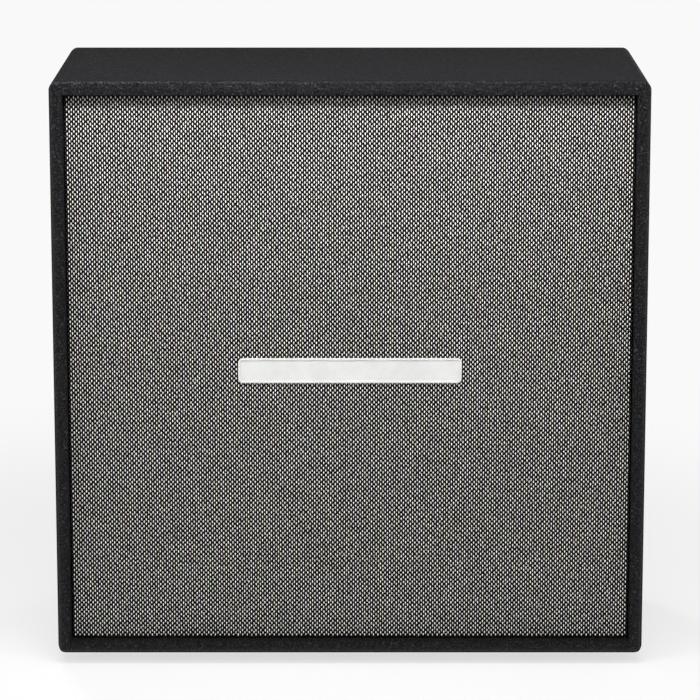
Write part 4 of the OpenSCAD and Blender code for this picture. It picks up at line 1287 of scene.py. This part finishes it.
@dataclass
class Studio:
    """A pale floor, a pale surround, soft lamps and the camera of the photograph."""

    camera_distance: float = 4.3
    camera_height: float = 1.328
    camera_pitch: float = 12.0
    focal_pixels: float = 3490.0
    frame_pixels: float = 700.0
    sensor: float = 36.0
    floor_reach: float = 30.0
    floor_colour: Colour = (0.9, 0.9, 0.9)
    backdrop: float = 0.948
    floor_glow: float = 0.67
    near_glow: float = 1.0
    near_floor: float = 0.7
    far_floor: float = 1.6
    ambient: float = 0.25
    horizon: tuple[float, float] = (0.2, 0.55)
    ceiling: float = 0.2
    lamps: Sequence[Lamp] = (
        Lamp("key", (0.5, -2.8, 2.6), (0, 0, 0.45), 2.2, 45.0),
        Lamp("side", (-2.6, -2.0, 1.6), (0, 0, 0.4), 2.0, 18.0),
        Lamp("strip", (0.0, -0.62, 1.2), (0, -0.17, 0.6), 1.1, 10.0, 0.07),
        Lamp("rear_low", (1.7, 2.4, 0.5), (0, 0, 0.4), 0.9, 34.0),
        Lamp("rear_high", (-1.2, 2.6, 3.2), (0, 0, 0.4), 0.7, 36.0),
    )

    def build(self) -> None:
        """Builds the whole studio."""
        for lamp in self.lamps:
            lamp.build()
        self.floor()
        self.surround()
        self.camera()
        bpy.context.scene.view_settings.view_transform = "Standard"

    def seen_rays(self, circuit: Circuit) -> bpy.types.NodeSocket:
        """Returns 1 for what the camera sees directly, in a mirror or through glass."""
        path = circuit.node("LightPath").outputs
        pair = circuit.maths("MAXIMUM", path["Is Camera Ray"], path["Is Glossy Ray"])
        return circuit.maths("MAXIMUM", pair, path["Is Transmission Ray"])

    def floor(self) -> None:
        """Builds the floor, which keeps a part of the cabinet's shadow."""
        work = Workpiece()
        bmesh.ops.create_grid(work.bm, x_segments=1, y_segments=1, size=self.floor_reach)
        made = in_scene("studio_floor", work.mesh("studio_floor", outward=False))
        material = bpy.data.materials.new("studio_floor")
        material.use_nodes = True
        circuit = Circuit(material.node_tree)
        material.node_tree.nodes.remove(material.node_tree.nodes["Principled BSDF"])
        matt = circuit.node("BsdfDiffuse", {"Color": (*self.floor_colour, 1)})
        spot = circuit.node("TexCoord").outputs["Object"]
        away = circuit.node("VectorMath", {0: spot}, operation="LENGTH").outputs["Value"]
        strength = circuit.spread(away, self.near_floor, self.far_floor, self.near_glow, self.backdrop)
        glow = circuit.node("Emission", {"Color": (1, 1, 1, 1), "Strength": strength})
        glow_share = circuit.spread(away, self.near_floor, self.far_floor, self.floor_glow, 1.0)
        share = circuit.times(self.seen_rays(circuit), glow_share)
        mixed = circuit.node("MixShader", {0: share, 1: matt.outputs[0], 2: glow.outputs[0]})
        circuit.feed(material.node_tree.nodes["Material Output"].inputs[0], mixed.outputs[0])
        made.data.materials.append(material)

    def surround(self) -> None:
        """Sets the world: pale where it is seen, dimmer as light, and a dim ceiling in what is glossy."""
        world = bpy.data.worlds.new("surround")
        bpy.context.scene.world = world
        world.use_nodes = True
        circuit = Circuit(world.node_tree)
        back = world.node_tree.nodes["Background"]
        back.inputs["Color"].default_value = (1, 1, 1, 1)
        up = circuit.node("SeparateXYZ", {0: circuit.node("TexCoord").outputs["Generated"]}).outputs[2]
        wall = circuit.spread(up, *self.horizon, 1.0, self.ceiling)
        straight = circuit.node("LightPath").outputs["Is Camera Ray"]
        seen = circuit.times(self.seen_rays(circuit), circuit.maths("MAXIMUM", straight, wall))
        extra = circuit.times(seen, self.backdrop - self.ambient)
        circuit.feed(back.inputs["Strength"], circuit.plus(extra, self.ambient))

    def camera(self) -> None:
        """Sets the camera at the photograph's place."""
        data = bpy.data.cameras.new("camera")
        data.sensor_width = self.sensor
        data.lens = self.focal_pixels / self.frame_pixels * self.sensor
        made = in_scene("camera", data)
        front = Box.of("vinyl_covering").low.y
        made.location = (0, front - self.camera_distance, self.camera_height)
        made.rotation_euler = (math.radians(90 - self.camera_pitch), 0, 0)
        bpy.context.scene.camera = made


def main() -> None:
    """Builds the studio, then each sub-assembly in order."""
    logging.basicConfig(level=logging.INFO, format="%(name)s: %(message)s")
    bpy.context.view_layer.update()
    Studio().build()
    shop = FinishShop()
    LOG.info("dressed %d packed nodes", shop.dress_nodes())
    Covering(shop).build()
    Grille(shop).build()
    Badge(shop).build()
    Feet(shop).build()
    Hardware(shop).build()


if __name__ == "__main__":
    main()
